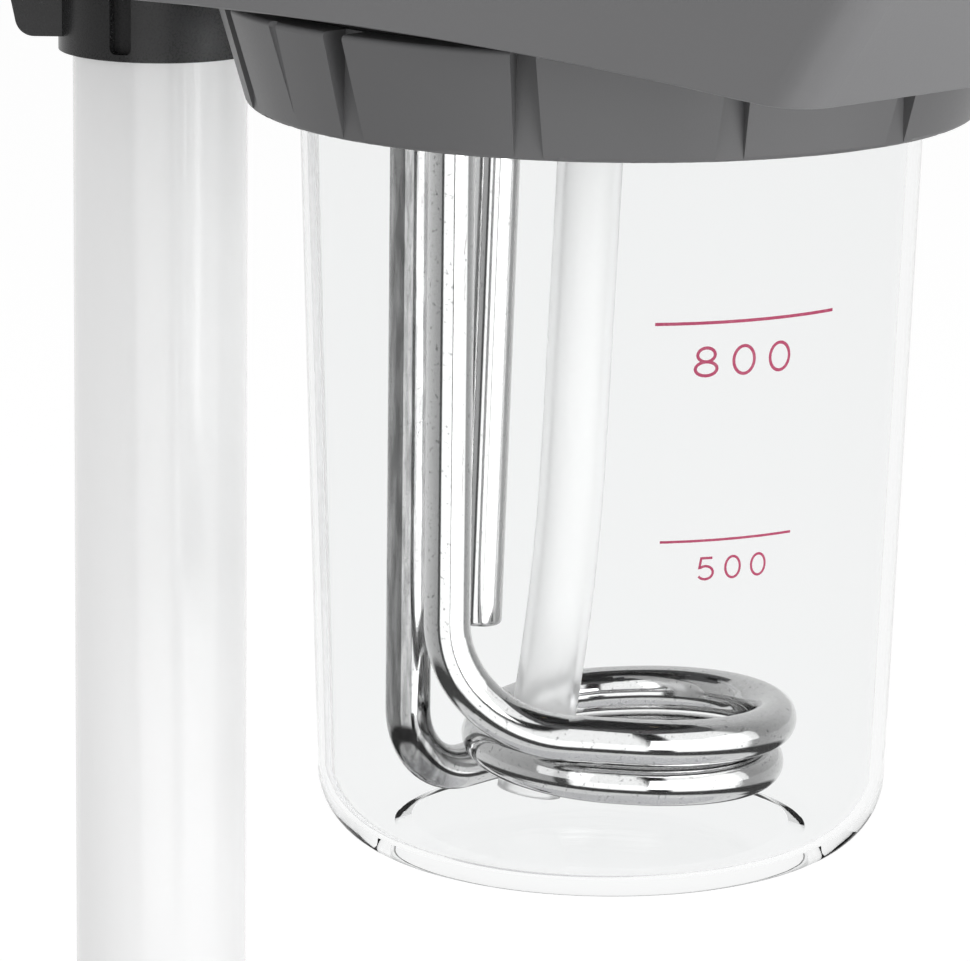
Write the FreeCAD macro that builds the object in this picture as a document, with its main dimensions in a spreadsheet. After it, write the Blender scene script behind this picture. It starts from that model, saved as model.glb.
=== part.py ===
# Bench-top glass water distiller, in millimetres.
# A heavy base carries a telescopic column, and the column carries the working head.
# A glass boiling jar hangs under the head on a fluted ring nut, round an immersed heater coil.
# The head's own pieces are modelled about the jar axis at the ring nut's bottom plane,
# and every one of their placements carries them up to where the column holds the head.
import FreeCAD, Part
import math
import os
import Sketcher

V = FreeCAD.Vector
Z_AXIS = V(0, 0, 1)
DOC = FreeCAD.newDocument("water_distiller")

# Driving sizes
SIZES = {
    # layout
    "jar_y": -10, "ring_z": 318, "column_back": 118,
    # base
    "base_half_x": 102, "base_half_y": 148, "base_corner": 42, "base_top": 30,
    "base_draft": 7, "base_wall": 3, "foot_height": 4, "foot_radius": 11,
    "foot_x": 68, "foot_y": 112, "plate_thick": 6, "base_edge": 6,
    "post_radius": 5, "screw_radius": 2, "screw_head": 4, "screw_head_high": 2.4,
    # column
    "column_radius": 16.5, "column_bore": 14.3, "column_top": 6, "pole_radius": 12.5,
    "pole_bore": 10.5, "pole_low": -150, "pole_high": 60, "key_width": 3, "key_deep": 1.2,
    "slide_gap": 0.06, "top_bush_long": 40, "low_bush_long": 22,
    "socket_radius": 30, "socket_sleeve": 19.5, "socket_high": 24, "trim_radius": 25,
    "trim_high": 12,
    # clamp
    "collar_radius": 19.2, "collar_low": -4.5, "collar_high": 19, "collar_slot": 4.3,
    "collar_slot_low": -3.2, "collar_slot_turn": 205.3, "lug_reach": 26.2, "lug_lean": 4.3,
    "lug_low": -1.6, "lug_half": 6.5, "lug_gap": 2.4, "lug_corner": 3.6, "lug_turn": 135,
    "clamp_high": 10.5, "clamp_reach": 23, "clamp_knob_radius": 8, "clamp_knob_long": 19,
    # head form
    "head_half": 70, "head_low": 19, "head_floor": 22, "head_front": 109.1,
    "head_nose": 133.1, "front_bow": 1330, "parting": 54, "panel_top_y": 75.1,
    "panel_top_z": 112, "head_top": 128, "head_back": 150, "head_wall": 2.6, "head_round": 6.4,
    "floor_thick": 3, "rim_edge": 0.5, "edge_arch": 1.95, "arch_chord": 74, "boiler_opening": 50,
    # boiler flange, gasket and jar
    "flange_radius": 62.4, "flange_skirt": 59.8, "flange_low": 10.9, "seal_top": 18,
    "gasket_low": 15.5, "gasket_inner": 52, "rim_low": 10.5, "rim_radius": 59,
    "jar_top_radius": 54.4, "jar_taper": 0.0318, "jar_bottom": -132.5, "jar_wall": 2.4,
    "jar_floor": 3.4, "jar_heel": 12.5, "jar_kick": 2.4,
    # ring nut
    "ring_low_radius": 63.7, "ring_high_radius": 69.3, "ring_high": 18.9, "ring_bore": 63,
    "ring_lip": 55.7, "ring_edge": 1.2, "flute_count": 12, "flute_low_width": 5,
    "flute_high_width": 4.3, "ring_turn": 1.6, "mark_turn": 168, "mark_low": 3.2, "mark_half": 1.25,
    # immersed pieces, turned together about the jar axis
    "heater_turn": -45, "heater_radius": 4, "turn_pitch": 8.6, "big_turn": 26,
    "small_turn": 23.5, "front_leg_x": -27.5, "back_leg_x": -34.5, "coil_x": 4.5,
    "coil_y": -6, "coil_top": -106.9, "front_bend": 21, "back_bend": 13, "leave_turn": 40,
    "leg_top": 32, "probe_radius": 4, "probe_low": -94, "probe_x": -19.1, "probe_lean": 2.9,
    "dip_radius": 5.75, "dip_bore": 4, "dip_x": -2.6, "dip_low": -124.5, "dip_lean": 10.2,
    # condenser and spout
    "cond_radius": 30, "cond_y": 28, "cond_tube": 4, "cond_pitch": 10, "cond_turns": 4,
    "cond_top": 88, "riser_x": -26, "riser_bend": 12, "spout_start": 58, "spout_end": 98,
    "spout_bore": 2.9,
    # fan
    "fan_half": 40, "fan_low": 101, "fan_high": 121, "fan_bore": 37.5, "hub_radius": 14,
    "blade_count": 7, "grille_radius": 40,
    # controls on the sloping panel
    "knob_radius": 17, "knob_high": 16, "knob_x": 36, "knob_up": 2, "shaft_radius": 3,
    "rocker_long": 20, "rocker_wide": 12, "rocker_up": -17, "lamp_radius": 3, "lamp_x": 8,
    "lamp_up": 17,
    # filler
    "filler_x": 40, "filler_y": 106, "filler_radius": 15, "filler_bore": 11, "hose_radius": 6,
    "hose_bore": 4, "hose_high": 33,
    # mains inlet
    "inlet_x": -38, "inlet_z": 38.5,
}
SHEET = DOC.addObject("Spreadsheet::Sheet", "size")
for row, (alias, amount) in enumerate(SIZES.items(), start=1):
    SHEET.set("A%d" % row, alias)
    SHEET.set("B%d" % row, str(amount))
    SHEET.setAlias("B%d" % row, alias)
DOC.recompute()

NODES = []


def size(alias):
    """A driving size read back from the sheet."""
    return float(SHEET.get(alias))


def bind(piece, **formulas):
    """Tie properties of a piece to formulas on the sheet."""
    for name, formula in formulas.items():
        piece.setExpression(name.replace("_", "."), formula)
    return piece


def put(piece, x="0", y="0", z="0"):
    """Tie a piece's place to formulas on the sheet."""
    piece.setExpression("Placement.Base.x", x)
    piece.setExpression("Placement.Base.y", y)
    piece.setExpression("Placement.Base.z", z)
    return piece


def keep(piece, node, in_head=True, x="0", y="0", z="0"):
    """Name a finished sub-part and lift the head's own ones to the head."""
    piece.Label = node
    if in_head:
        put(piece, x, "size.jar_y + " + y, "size.ring_z + " + z)
    NODES.append((node, piece))
    return piece


def cylinder(name, radius, height, x="0", y="0", z="0"):
    piece = DOC.addObject("Part::Cylinder", name)
    bind(piece, Radius=radius, Height=height)
    return put(piece, x, y, z)


def box(name, long, wide, high, x="0", y="0", z="0"):
    piece = DOC.addObject("Part::Box", name)
    bind(piece, Length=long, Width=wide, Height=high)
    return put(piece, x, y, z)


def turn(piece, axis, angle):
    """Turn a piece about its own base point."""
    piece.Placement = FreeCAD.Placement(piece.Placement.Base, FreeCAD.Rotation(axis, angle))
    return piece


def cut(name, base, *tools):
    piece = DOC.addObject("Part::Cut", name)
    piece.Base = base
    piece.Tool = tools[0] if len(tools) == 1 else fuse(name + "_tools", *tools)
    return piece


def fuse(name, *pieces):
    piece = DOC.addObject("Part::MultiFuse", name)
    piece.Shapes = list(pieces)
    return piece


def common(name, *pieces):
    piece = DOC.addObject("Part::MultiCommon", name)
    piece.Shapes = list(pieces)
    return piece


def group(name, *pieces):
    """Separate solids kept in one node, such as a set of screws."""
    piece = DOC.addObject("Part::Compound", name)
    piece.Links = list(pieces)
    return piece


def plane_of(body, role):
    return [plane for plane in body.Origin.OriginFeatures if plane.Role == role][0]


def outline(body, name, role, corners):
    """A closed sketch of straight sides whose corners are formulas on the sheet."""
    sketch = body.newObject("Sketcher::SketchObject", name)
    sketch.AttachmentSupport = [(plane_of(body, role), "")]
    sketch.MapMode = "FlatFace"
    count = len(corners)
    for side in range(count):
        start, end = V(side, side * side, 0), V(side + 1, (side + 1) ** 2, 0)
        sketch.addGeometry(Part.LineSegment(start, end), False)
    for side in range(count):
        follower = (side + 1) % count
        sketch.addConstraint(Sketcher.Constraint("Coincident", side, 2, follower, 1))
    for corner, (across, along) in enumerate(corners):
        for kind, formula in (("DistanceX", across), ("DistanceY", along)):
            place = sketch.addConstraint(Sketcher.Constraint(kind, -1, 1, corner, 1, 1.0))
            sketch.setExpression("Constraints[%d]" % place, formula)
    return sketch


def turned(name, corners):
    """A body turned about the vertical axis from its half outline of radius and height."""
    body = DOC.addObject("PartDesign::Body", name)
    sketch = outline(body, name + "_outline", "XZ_Plane", corners)
    DOC.recompute()
    feature = body.newObject("PartDesign::Revolution", name + "_turn")
    feature.Profile = sketch
    feature.ReferenceAxis = (sketch, ["V_Axis"])
    feature.Angle = 360
    DOC.recompute()
    return body


def round_edges(body, name, radius, chosen):
    """Fillet the edges of a body that the test picks by their middle point."""
    tip = body.Tip
    edges = []
    for index, edge in enumerate(tip.Shape.Edges, start=1):
        if chosen(edge):
            edges.append("Edge%d" % index)
    feature = body.newObject("PartDesign::Fillet", name)
    feature.Base = (tip, edges)
    bind(feature, Radius=radius)
    DOC.recompute()
    return feature


def ring_edge(radius, height, reach=0.3):
    """A test for the round edge of that radius at that height."""
    def test(edge):
        curve = edge.Curve
        if not isinstance(curve, Part.Circle):
            return False
        return abs(curve.Radius - radius) < reach and abs(curve.Center.z - height) < reach
    return test


def solid_node(name, shape, node, in_head=True, angle=0.0):
    """A sub-part whose shape no standard feature gives, placed after its shape is set."""
    piece = DOC.addObject("Part::Feature", name)
    own_place = shape.Placement
    piece.Shape = shape
    base = V(0, size("jar_y"), size("ring_z")) if in_head else V(0, 0, 0)
    head_place = FreeCAD.Placement(base, FreeCAD.Rotation(Z_AXIS, angle))
    piece.Placement = head_place.multiply(own_place)
    piece.Label = node
    NODES.append((node, piece))
    return piece


# Base
def rounded_slab(name, half_x, half_y, corner, low, high, draft):
    """A plate with round corners whose sides lean in by the draft from low to high."""
    loft = DOC.addObject("Part::Loft", name)
    sections = []
    for level, inset in ((low, "0"), (high, draft)):
        section = DOC.addObject("Part::Feature", "%s_section%d" % (name, len(sections)))
        section.Shape = slab_wire(half_x, half_y, corner, level, inset)
        sections.append(section)
    loft.Sections = sections
    loft.Solid = True
    loft.Ruled = True
    return loft


def slab_wire(half_x, half_y, corner, level, inset):
    """The outline of a rounded rectangle at one level."""
    across = half_x - float(inset)
    along = half_y - float(inset)
    bend = corner - float(inset)
    points = []
    for sign_x, sign_y, start in ((1, 1, 0), (-1, 1, 90), (-1, -1, 180), (1, -1, 270)):
        centre = V(sign_x * (across - bend), sign_y * (along - bend), level)
        arc = []
        for angle in (start, start + 45, start + 90):
            turn_to = math.radians(angle)
            arc.append(centre + V(bend * math.cos(turn_to), bend * math.sin(turn_to), 0))
        points.append(arc)
    edges = []
    for index, arc in enumerate(points):
        edges.append(Part.Arc(*arc).toShape())
        edges.append(Part.LineSegment(arc[2], points[(index + 1) % 4][0]).toShape())
    return Part.Wire(edges)


def make_base():
    wall = size("base_wall")
    half_x, half_y = size("base_half_x"), size("base_half_y")
    corner, top = size("base_corner"), size("base_top")
    foot_high, draft = size("foot_height"), size("base_draft")
    thick = size("plate_thick")
    outer = rounded_slab("base_outer", half_x, half_y, corner, foot_high - 1, top, draft)
    DOC.recompute()
    rounded = DOC.addObject("Part::Fillet", "base_rounded")
    rounded.Base = outer
    edge_radius = size("base_edge")
    rounded.Edges = [(index, edge_radius, edge_radius)
                     for index, edge in enumerate(outer.Shape.Edges, start=1)
                     if abs(edge.BoundBox.ZMin - top) < 0.01]
    inner = rounded_slab("base_inner", half_x - wall, half_y - wall, corner - wall,
                         foot_high - 2, top - wall, draft)
    column_y = "size.jar_y + size.column_back"
    well = cylinder("base_well", "size.column_radius + 0.3", "size.base_top", "0", column_y)
    shell = cut("base_shell", rounded, inner, well)
    posts, holes, feet, screws = [], [], [], []
    spots = [("size.foot_x * %d" % sx, "size.foot_y * %d" % sy)
             for sx in (1, -1) for sy in (1, -1)]
    post_low = "size.foot_height + size.plate_thick"
    for index, (x, y) in enumerate(spots):
        posts.append(cylinder("post%d" % index, "size.post_radius",
                              "size.base_top - size.base_wall + 0.5 - (%s)" % post_low,
                              x, y, post_low))
        holes.append(cylinder("post_hole%d" % index, "size.screw_radius", "14",
                              x, y, post_low))
        foot = cylinder("foot%d" % index, "size.foot_radius", "size.foot_height", x, y)
        dimple = cylinder("foot_dimple%d" % index, "size.screw_head + 1",
                          "size.foot_height", x, y)
        feet.append(cut("foot_ring%d" % index, foot, dimple))
        shank = cylinder("base_shank%d" % index, "size.screw_radius",
                         "size.plate_thick + 12", x, y, "size.foot_height")
        head = cylinder("base_screw_head%d" % index, "size.screw_head",
                        "size.screw_head_high", x, y, "size.foot_height")
        screws.append(fuse("base_screw%d" % index, shank, head))
    keep(cut("base_cover_solid", fuse("base_with_posts", shell, *posts), *holes),
         "base_cover", in_head=False)

    gap = 1.2
    plate = rounded_slab("plate_blank", half_x - wall - gap, half_y - wall - gap,
                         corner - wall - gap, foot_high, foot_high + thick, draft * 0.24)
    plate_holes = []
    for index, (x, y) in enumerate(spots):
        plate_holes.append(cylinder("plate_hole%d" % index, "size.screw_radius + 0.2",
                                    "size.plate_thick + 2", x, y, "size.foot_height - 1"))
        plate_holes.append(cylinder("plate_sink%d" % index, "size.screw_head + 0.2",
                                    "size.screw_head_high + 0.1", x, y,
                                    "size.foot_height - 0.1"))
    keep(cut("base_plate_solid", plate, *plate_holes), "base_plate", in_head=False)
    keep(group("feet_group", *feet), "rubber_feet", in_head=False)
    keep(group("base_screws_group", *screws), "base_screws", in_head=False)


def make_column():
    column_y = "size.jar_y + size.column_back"
    plate_top = "size.foot_height + size.plate_thick"
    # pressed steel socket on the plate
    socket = turned("column_socket_solid", [
        ("size.column_radius", "0"), ("size.socket_radius", "0"),
        ("size.socket_radius", "3"), ("size.socket_sleeve + 2", "3"),
        ("size.socket_sleeve", "5"), ("size.socket_sleeve", "size.socket_high - 8"),
        ("size.column_radius", "size.socket_high - 8")])
    put(socket, "0", column_y, plate_top)
    keep(socket, "column_socket", in_head=False)
    screws = []
    for index in range(3):
        angle = math.radians(90 + 120 * index)
        x = "%.6f * (size.socket_sleeve + 6)" % math.cos(angle)
        y = column_y + " + %.6f * (size.socket_sleeve + 6)" % math.sin(angle)
        head = cylinder("socket_screw_head%d" % index, "3.2", "2.2", x, y, plate_top + " + 3")
        screws.append(head)
    keep(group("socket_screws_group", *screws), "socket_screws", in_head=False)
    trim = turned("column_trim_solid", [
        ("size.column_radius", "0"), ("size.trim_radius", "0"),
        ("size.trim_radius - 1", "3"), ("size.column_radius + 3", "size.trim_high"),
        ("size.column_radius", "size.trim_high")])
    round_edges(trim, "trim_round", "1", ring_edge(size("column_radius") + 3, size("trim_high")))
    put(trim, "0", column_y, "size.base_top")
    keep(trim, "column_trim", in_head=False)
    length = "size.ring_z + size.column_top - size.foot_height - size.plate_thick"
    outer = cylinder("column_outside", "size.column_radius", length)
    bore = cylinder("column_inside", "size.column_bore", length)
    keep(put(cut("outer_column_solid", outer, bore), "0", column_y, plate_top),
         "outer_column", in_head=False)

    # nylon bush in the column's mouth, with the key that stops the head from swinging
    bush = turned("column_bush_solid", [
        ("size.pole_radius + size.slide_gap", "-size.top_bush_long"),
        ("size.column_bore", "-size.top_bush_long"), ("size.column_bore", "0"),
        ("size.column_radius", "0"), ("size.column_radius", "2"),
        ("size.pole_radius + size.slide_gap", "2")])
    put(bush, "0", "size.column_back", "size.column_top")
    key = box("bush_key", "size.key_width - 0.2", "size.key_deep + 0.3",
              "size.top_bush_long", "-size.key_width / 2 + 0.1",
              "size.column_back + size.pole_radius - size.key_deep + 0.1",
              "size.column_top + 2 - size.top_bush_long")
    keep(fuse("bush_with_key", bush, key), "column_bush")

    pole = cylinder("pole_outside", "size.pole_radius", "size.pole_high - size.pole_low")
    pole_bore = cylinder("pole_inside", "size.pole_bore", "size.pole_high - size.pole_low")
    tube = put(cut("pole_tube", pole, pole_bore), "0", "size.column_back", "size.pole_low")
    keyway = box("pole_keyway", "size.key_width", "size.key_deep + 1",
                 "size.pole_high - size.pole_low", "-size.key_width / 2",
                 "size.column_back + size.pole_radius - size.key_deep", "size.pole_low - 1")
    keep(cut("inner_pole_solid", tube, keyway), "inner_pole")
    low_bush = turned("pole_bush_solid", [
        ("size.pole_radius", "0"), ("size.column_bore - size.slide_gap", "0"),
        ("size.column_bore - size.slide_gap", "size.low_bush_long"),
        ("size.pole_radius", "size.low_bush_long")])
    keep(low_bush, "pole_bush", y="size.column_back", z="size.pole_low")


def make_clamp():
    collar = cylinder("collar_outside", "size.collar_radius",
                      "size.collar_high - size.collar_low", z="size.collar_low")
    lug = DOC.addObject("PartDesign::Body", "collar_lug")
    side = outline(lug, "collar_lug_side", "XZ_Plane", [
        ("0", "size.lug_low"), ("size.lug_reach", "size.lug_low"),
        ("size.lug_reach + size.lug_lean", "size.collar_high"), ("0", "size.collar_high")])
    DOC.recompute()
    pad = lug.newObject("PartDesign::Pad", "collar_lug_pad")
    pad.Profile = side
    pad.Midplane = True
    bind(pad, Length="2 * size.lug_half")
    DOC.recompute()
    lug_round = DOC.addObject("Part::Fillet", "collar_lug_round")
    lug_round.Base = lug
    corner = size("lug_corner")
    lug_round.Edges = [(index, corner, corner)
                       for index, edge in enumerate(lug.Shape.Edges, start=1)
                       if abs(edge.BoundBox.XMin - size("lug_reach")) < 0.01
                       and edge.BoundBox.ZLength < 0.01]
    body = fuse("collar_body", collar, lug_round)
    wide_bore = cylinder("collar_column_bore", "size.column_radius",
                         "size.column_top + 2 - size.collar_low + 1", z="size.collar_low - 1")
    pole_bore = cylinder("collar_pole_bore", "size.pole_radius + size.slide_gap",
                         "size.collar_high", z="size.column_top")
    split = box("collar_split", "size.lug_reach + size.lug_lean + 2", "size.lug_gap",
                "size.collar_high - size.lug_low + 6", "0", "-size.lug_gap / 2",
                "size.lug_low - 3")
    screw_way = cylinder("collar_screw_way", "3.1", "2 * size.lug_half + 2",
                         "size.clamp_reach", "size.lug_half + 1", "size.clamp_high")
    turn(screw_way, V(1, 0, 0), 90)
    slot_turn = size("collar_slot_turn") - size("lug_turn")
    slot = box("collar_slot_box", "6", "size.collar_slot", "size.collar_high - size.collar_slot_low + 2",
               "size.collar_radius - 2.2", "-size.collar_slot / 2", "size.collar_slot_low")
    DOC.recompute()
    slot_cut = DOC.addObject("Part::Fillet", "collar_slot_cut")
    slot_cut.Base = slot
    slot_cut.Edges = [(index, 1.2, 1.2) for index, edge in enumerate(slot.Shape.Edges, start=1)
                      if edge.BoundBox.ZMax < size("collar_slot_low") + 0.01
                      and edge.BoundBox.XLength > 5]
    slot_cut.Placement = FreeCAD.Placement(V(0, 0, 0), FreeCAD.Rotation(Z_AXIS, slot_turn))
    clamp = cut("clamp_collar_solid", body, wide_bore, pole_bore, split, screw_way, slot_cut)

    # the clamp's pieces share its turn about the column
    screw_head = cylinder("clamp_screw_head", "4", "2.5", "size.clamp_reach",
                          "size.lug_half + 2.5", "size.clamp_high")
    turn(screw_head, V(1, 0, 0), 90)
    screw_shank = cylinder("clamp_screw_shank", "3", "2 * size.lug_half + 11",
                           "size.clamp_reach", "size.lug_half", "size.clamp_high")
    turn(screw_shank, V(1, 0, 0), 90)
    screw = fuse("clamp_screw_solid", screw_head, screw_shank)

    # a wing nut on a long hub, whose wings stand clear of the collar as they go round
    hub = cylinder("clamp_knob_hub", "4.5", "size.clamp_knob_long", "size.clamp_reach",
                   "-size.lug_half - 0.1", "size.clamp_high")
    turn(hub, V(1, 0, 0), 90)
    wings = box("clamp_knob_wings", "5.4", "9", "2 * size.clamp_knob_radius",
                "size.clamp_reach - 2.7", "-size.lug_half - size.clamp_knob_long",
                "size.clamp_high - size.clamp_knob_radius")
    DOC.recompute()
    wing_round = DOC.addObject("Part::Fillet", "clamp_wing_round")
    wing_round.Base = wings
    wing_round.Edges = [(index, 2.6, 2.6) for index, edge in enumerate(wings.Shape.Edges, 1)
                        if edge.BoundBox.ZLength < 0.01 and edge.BoundBox.YLength > 1]
    blind = cylinder("clamp_knob_bore", "3.05", "11.2", "size.clamp_reach",
                     "-size.lug_half", "size.clamp_high")
    turn(blind, V(1, 0, 0), 90)
    knob = cut("clamp_knob_solid", fuse("clamp_knob_full", hub, wing_round), blind)
    lug_turn = FreeCAD.Rotation(Z_AXIS, size("lug_turn"))
    base = V(0, size("column_back") + size("jar_y"), size("ring_z"))
    for piece, node in ((clamp, "clamp_collar"), (screw, "clamp_screw"), (knob, "clamp_knob")):
        piece.Placement = FreeCAD.Placement(base, lug_turn)
        piece.setExpression("Placement.Base.y", "size.jar_y + size.column_back")
        piece.setExpression("Placement.Base.z", "size.ring_z")
        keep(piece, node, in_head=False)


# Head housing
def head_form(name, inset, rounding):
    """The housing's outer form, or the space inside it when inset by the wall."""
    body = DOC.addObject("PartDesign::Body", name)
    back = "size.head_back - %g" % inset
    reach = inset * 1.25 - 4
    sketch = outline(body, name + "_side", "YZ_Plane", [
        ("-size.head_front + %g" % (reach + 2), "size.head_low - 6"),
        (back, "size.head_low - 6"), (back, "size.head_top - %g" % inset),
        ("-size.panel_top_y + 12 + %g" % (inset * 0.5), "size.head_top - %g" % inset),
        ("-size.panel_top_y + %g" % (inset * 0.8), "size.panel_top_z - %g" % (inset * 0.6)),
        ("-size.head_nose + %g" % (reach + inset * 0.15),
         "size.parting - 4 + %g" % (inset * 0.15))])
    DOC.recompute()
    pad = body.newObject("PartDesign::Pad", name + "_pad")
    pad.Profile = sketch
    pad.Midplane = True
    bind(pad, Length="2 * (size.head_half - %g)" % inset)
    # a very large leaned cylinder gives the front below the nose its slight bow
    lean = math.atan2(size("head_nose") - size("head_front"), size("parting") - size("head_low"))
    bow = cylinder(name + "_bow", "size.front_bow", "440", "0",
                   "-size.head_front + %g + size.front_bow * %.9f + 220 * %.9f" % (
                       inset * 1.25, math.cos(lean), math.sin(lean)),
                   "size.head_low + size.front_bow * %.9f - 220 * %.9f" % (
                       math.sin(lean), math.cos(lean)))
    turn(bow, V(1, 0, 0), math.degrees(lean))
    form = common(name + "_form", body, bow)
    DOC.recompute()
    low = size("head_low")
    side = size("head_half") - inset

    def side_edge(edge):
        # the edges in both side planes, apart from those of the open bottom
        bounds = edge.BoundBox
        on_side = abs(abs(bounds.XMin) - side) < 0.01 and bounds.XLength < 0.02
        return on_side and not bounds.ZMax < low - 5

    def cross_edge(edge):
        bounds = edge.BoundBox
        across = bounds.XLength > side and bounds.YLength < 4 and bounds.ZLength < 4
        return across and bounds.ZMin > low + 5
    form = rounded(name + "_sides", form, rounding, side_edge)
    if inset > 0:
        return form
    return rounded(name + "_cross", form, rounding * 0.6, cross_edge)


def rounded(name, solid, radius, chosen):
    """Fillet the edges of a solid that the test picks."""
    feature = DOC.addObject("Part::Fillet", name)
    feature.Base = solid
    feature.Edges = [(index, radius, radius)
                     for index, edge in enumerate(solid.Shape.Edges, start=1) if chosen(edge)]
    DOC.recompute()
    return feature


def skirt_arch():
    """The side's lower edge rises in a long arc over the ring nut."""
    chord, rise = size("arch_chord"), size("edge_arch")
    bow = (chord ** 2 + rise ** 2) / (2 * rise)
    arch = cylinder("skirt_arch", "%g" % bow, "4 * size.head_half", "-2 * size.head_half",
                    "-25", "size.head_low + size.edge_arch - %g" % bow)
    return turn(arch, V(0, 1, 0), 90)


def make_lower_shell():
    outer = head_form("lower_outer", 0, size("head_round"))
    inner = head_form("lower_inner", size("head_wall"), size("head_round") - size("head_wall"))
    below = box("lower_slab", "400", "400", "size.parting - size.head_low - 0.15", "-200",
                "-200", "size.head_low")
    arched = cut("lower_form", common("lower_block", outer, below), skirt_arch())
    DOC.recompute()

    def rim_edge(edge):
        # the outer edges of the open bottom, on the sides, the front, the back and corners
        bounds = edge.BoundBox
        middle = edge.valueAt((edge.FirstParameter + edge.LastParameter) / 2)
        outside = (abs(middle.x) > size("head_half") - 6 or middle.y > size("head_back") - 1
                   or middle.y < -size("head_front") + 3)
        return outside and bounds.ZMax < size("head_low") + size("edge_arch") + 0.1
    form = rounded("lower_rim", arched, size("rim_edge"), rim_edge)
    cavity_slab = box("cavity_slab", "400", "400", "100", "-200", "-200",
                      "size.head_floor + size.floor_thick")
    cavity = common("lower_cavity", inner, cavity_slab)
    room_slab = box("room_slab", "400", "400", "size.head_floor", "-200", "-200", "0")
    room = common("skirt_room", inner, room_slab)
    opening = cylinder("boiler_opening_cut", "size.boiler_opening", "20", z="15")
    pole_way = cylinder("floor_pole_way", "size.pole_radius + 1.5", "20", "0",
                        "size.column_back", "15")
    spout_way = cylinder("wall_spout_way", "size.cond_tube + 1", "20",
                         "size.head_half - 10", "size.cond_y - size.cond_radius",
                         "%.6f" % spout_height())
    turn(spout_way, V(0, 1, 0), 90)
    inlet_way = box("wall_inlet_way", "28", "12", "21", "size.inlet_x - 14",
                    "size.head_back - 6", "size.inlet_z - 10.5")
    bosses, boss_holes = [], []
    for index, (x, y) in enumerate(boss_spots()):
        bosses.append(cylinder("boss%d" % index, "5", "size.parting - size.head_floor - 1.5",
                               x, y, "size.head_floor + 1"))
        boss_holes.append(cylinder("boss_way%d" % index, "2.2", "60", x, y, "10"))
        boss_holes.append(cylinder("boss_sink%d" % index, "4.2", "6", x, y,
                                   "size.head_floor - 0.5"))
    pads = []
    for index, (x, y) in enumerate(board_spots()):
        pads.append(cylinder("board_pad%d" % index, "3", "6", x, y,
                             "size.head_floor + size.floor_thick - 0.5"))
    tray = cut("lower_tray", form, cavity, room)
    full = fuse("lower_tray_full", tray, *bosses, *pads)
    for index, (x, y) in enumerate(flange_screw_spots()):
        boss_holes.append(cylinder("floor_screw_way%d" % index, "2.1", "12", x, y,
                                   "size.head_floor - 2"))
    shell = cut("lower_shell_solid", full, opening, pole_way, spout_way, inlet_way, *boss_holes)
    keep(shell, "head_lower_shell")


def boss_spots():
    return [("%g" % x, y) for x in (-58, 58)
            for y in ("-92", "size.head_back - 14")]


def flange_screw_spots():
    spots = []
    for index in range(6):
        angle = math.radians(30 + 60 * index)
        spots.append(("%.6f * (size.boiler_opening + 5.6)" % math.cos(angle),
                      "%.6f * (size.boiler_opening + 5.6)" % math.sin(angle)))
    return spots


def board_spots():
    return [("%g" % x, "%g" % y) for x in (-40, 40) for y in (-98, -66)]


def make_upper_cover():
    outer = head_form("upper_outer", 0, size("head_round"))
    inner = head_form("upper_inner", size("head_wall"), size("head_round") - size("head_wall"))
    above = box("upper_slab", "400", "400", "200", "-200", "-200", "size.parting + 0.15")
    form = common("upper_form", outer, above)
    grille_way = cylinder("cover_fan_way", "size.grille_radius + 0.4", "30", "0",
                          "size.cond_y", "size.head_top - 20")
    filler_way = cylinder("cover_filler_way", "size.filler_bore + 2.6", "30",
                          "size.filler_x", "size.filler_y", "size.head_top - 20")
    louvres = []
    for index in range(7):
        louvres.append(box("louvre%d" % index, "200", "3", "26", "-100",
                           "%g" % (10 + 9 * index), "66"))
    bosses, boss_holes = [], []
    for index, (x, y) in enumerate(boss_spots()):
        high = "size.head_top - size.parting - 1.5" if index % 2 else "size.panel_top_z - size.parting - 16.5"
        bosses.append(cylinder("cover_boss%d" % index, "4.5", high, x, y,
                               "size.parting + 0.15"))
        boss_holes.append(cylinder("cover_boss_hole%d" % index, "1.8", "18", x, y,
                                   "size.parting"))
    hollow = cut("upper_hollow", form, inner)
    full = fuse("upper_full", hollow, common("upper_bosses", fuse("boss_set", *bosses), form))
    panel_cuts = panel_holes()
    cover = cut("upper_cover_solid", full, grille_way, filler_way, *louvres, *boss_holes,
                *panel_cuts)
    keep(cover, "head_upper_cover")


# Sloping control panel
def panel_frame():
    """Centre of the sloping face and its tilt from flat, in the head's frame."""
    low = V(0, -size("head_nose"), size("parting"))
    high = V(0, -size("panel_top_y"), size("panel_top_z"))
    along = high - low
    tilt = math.degrees(math.atan2(along.z, along.y))
    return (low + high) * 0.5, tilt


def on_panel(piece, across, up, proud):
    """Stand a piece, made upright at the origin, on the sloping face."""
    centre, tilt = panel_frame()
    rotation = FreeCAD.Rotation(V(1, 0, 0), tilt)
    spot = centre + rotation.multVec(V(across, up, proud))
    for direction in "xyz":
        piece.setExpression("Placement.Base." + direction, None)
    piece.Placement = FreeCAD.Placement(spot, rotation)
    return piece


def panel_holes():
    holes = []
    for side in (-1, 1):
        hole = cylinder("panel_shaft_hole%d" % (side + 1), "6", "20")
        holes.append(on_panel(hole, side * size("knob_x"), size("knob_up"), -14))
        lamp = cylinder("panel_lamp_hole%d" % (side + 1), "size.lamp_radius", "20")
        holes.append(on_panel(lamp, side * size("lamp_x"), size("lamp_up"), -14))
    window = DOC.addObject("Part::Box", "panel_rocker_hole")
    window.Length = size("rocker_long") + 2.4
    window.Width = size("rocker_wide") + 2.4
    window.Height = 20
    holes.append(on_panel(window, -size("rocker_long") / 2 - 1.2,
                          size("rocker_up") - size("rocker_wide") / 2 - 1.2, -14))
    return holes


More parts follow.
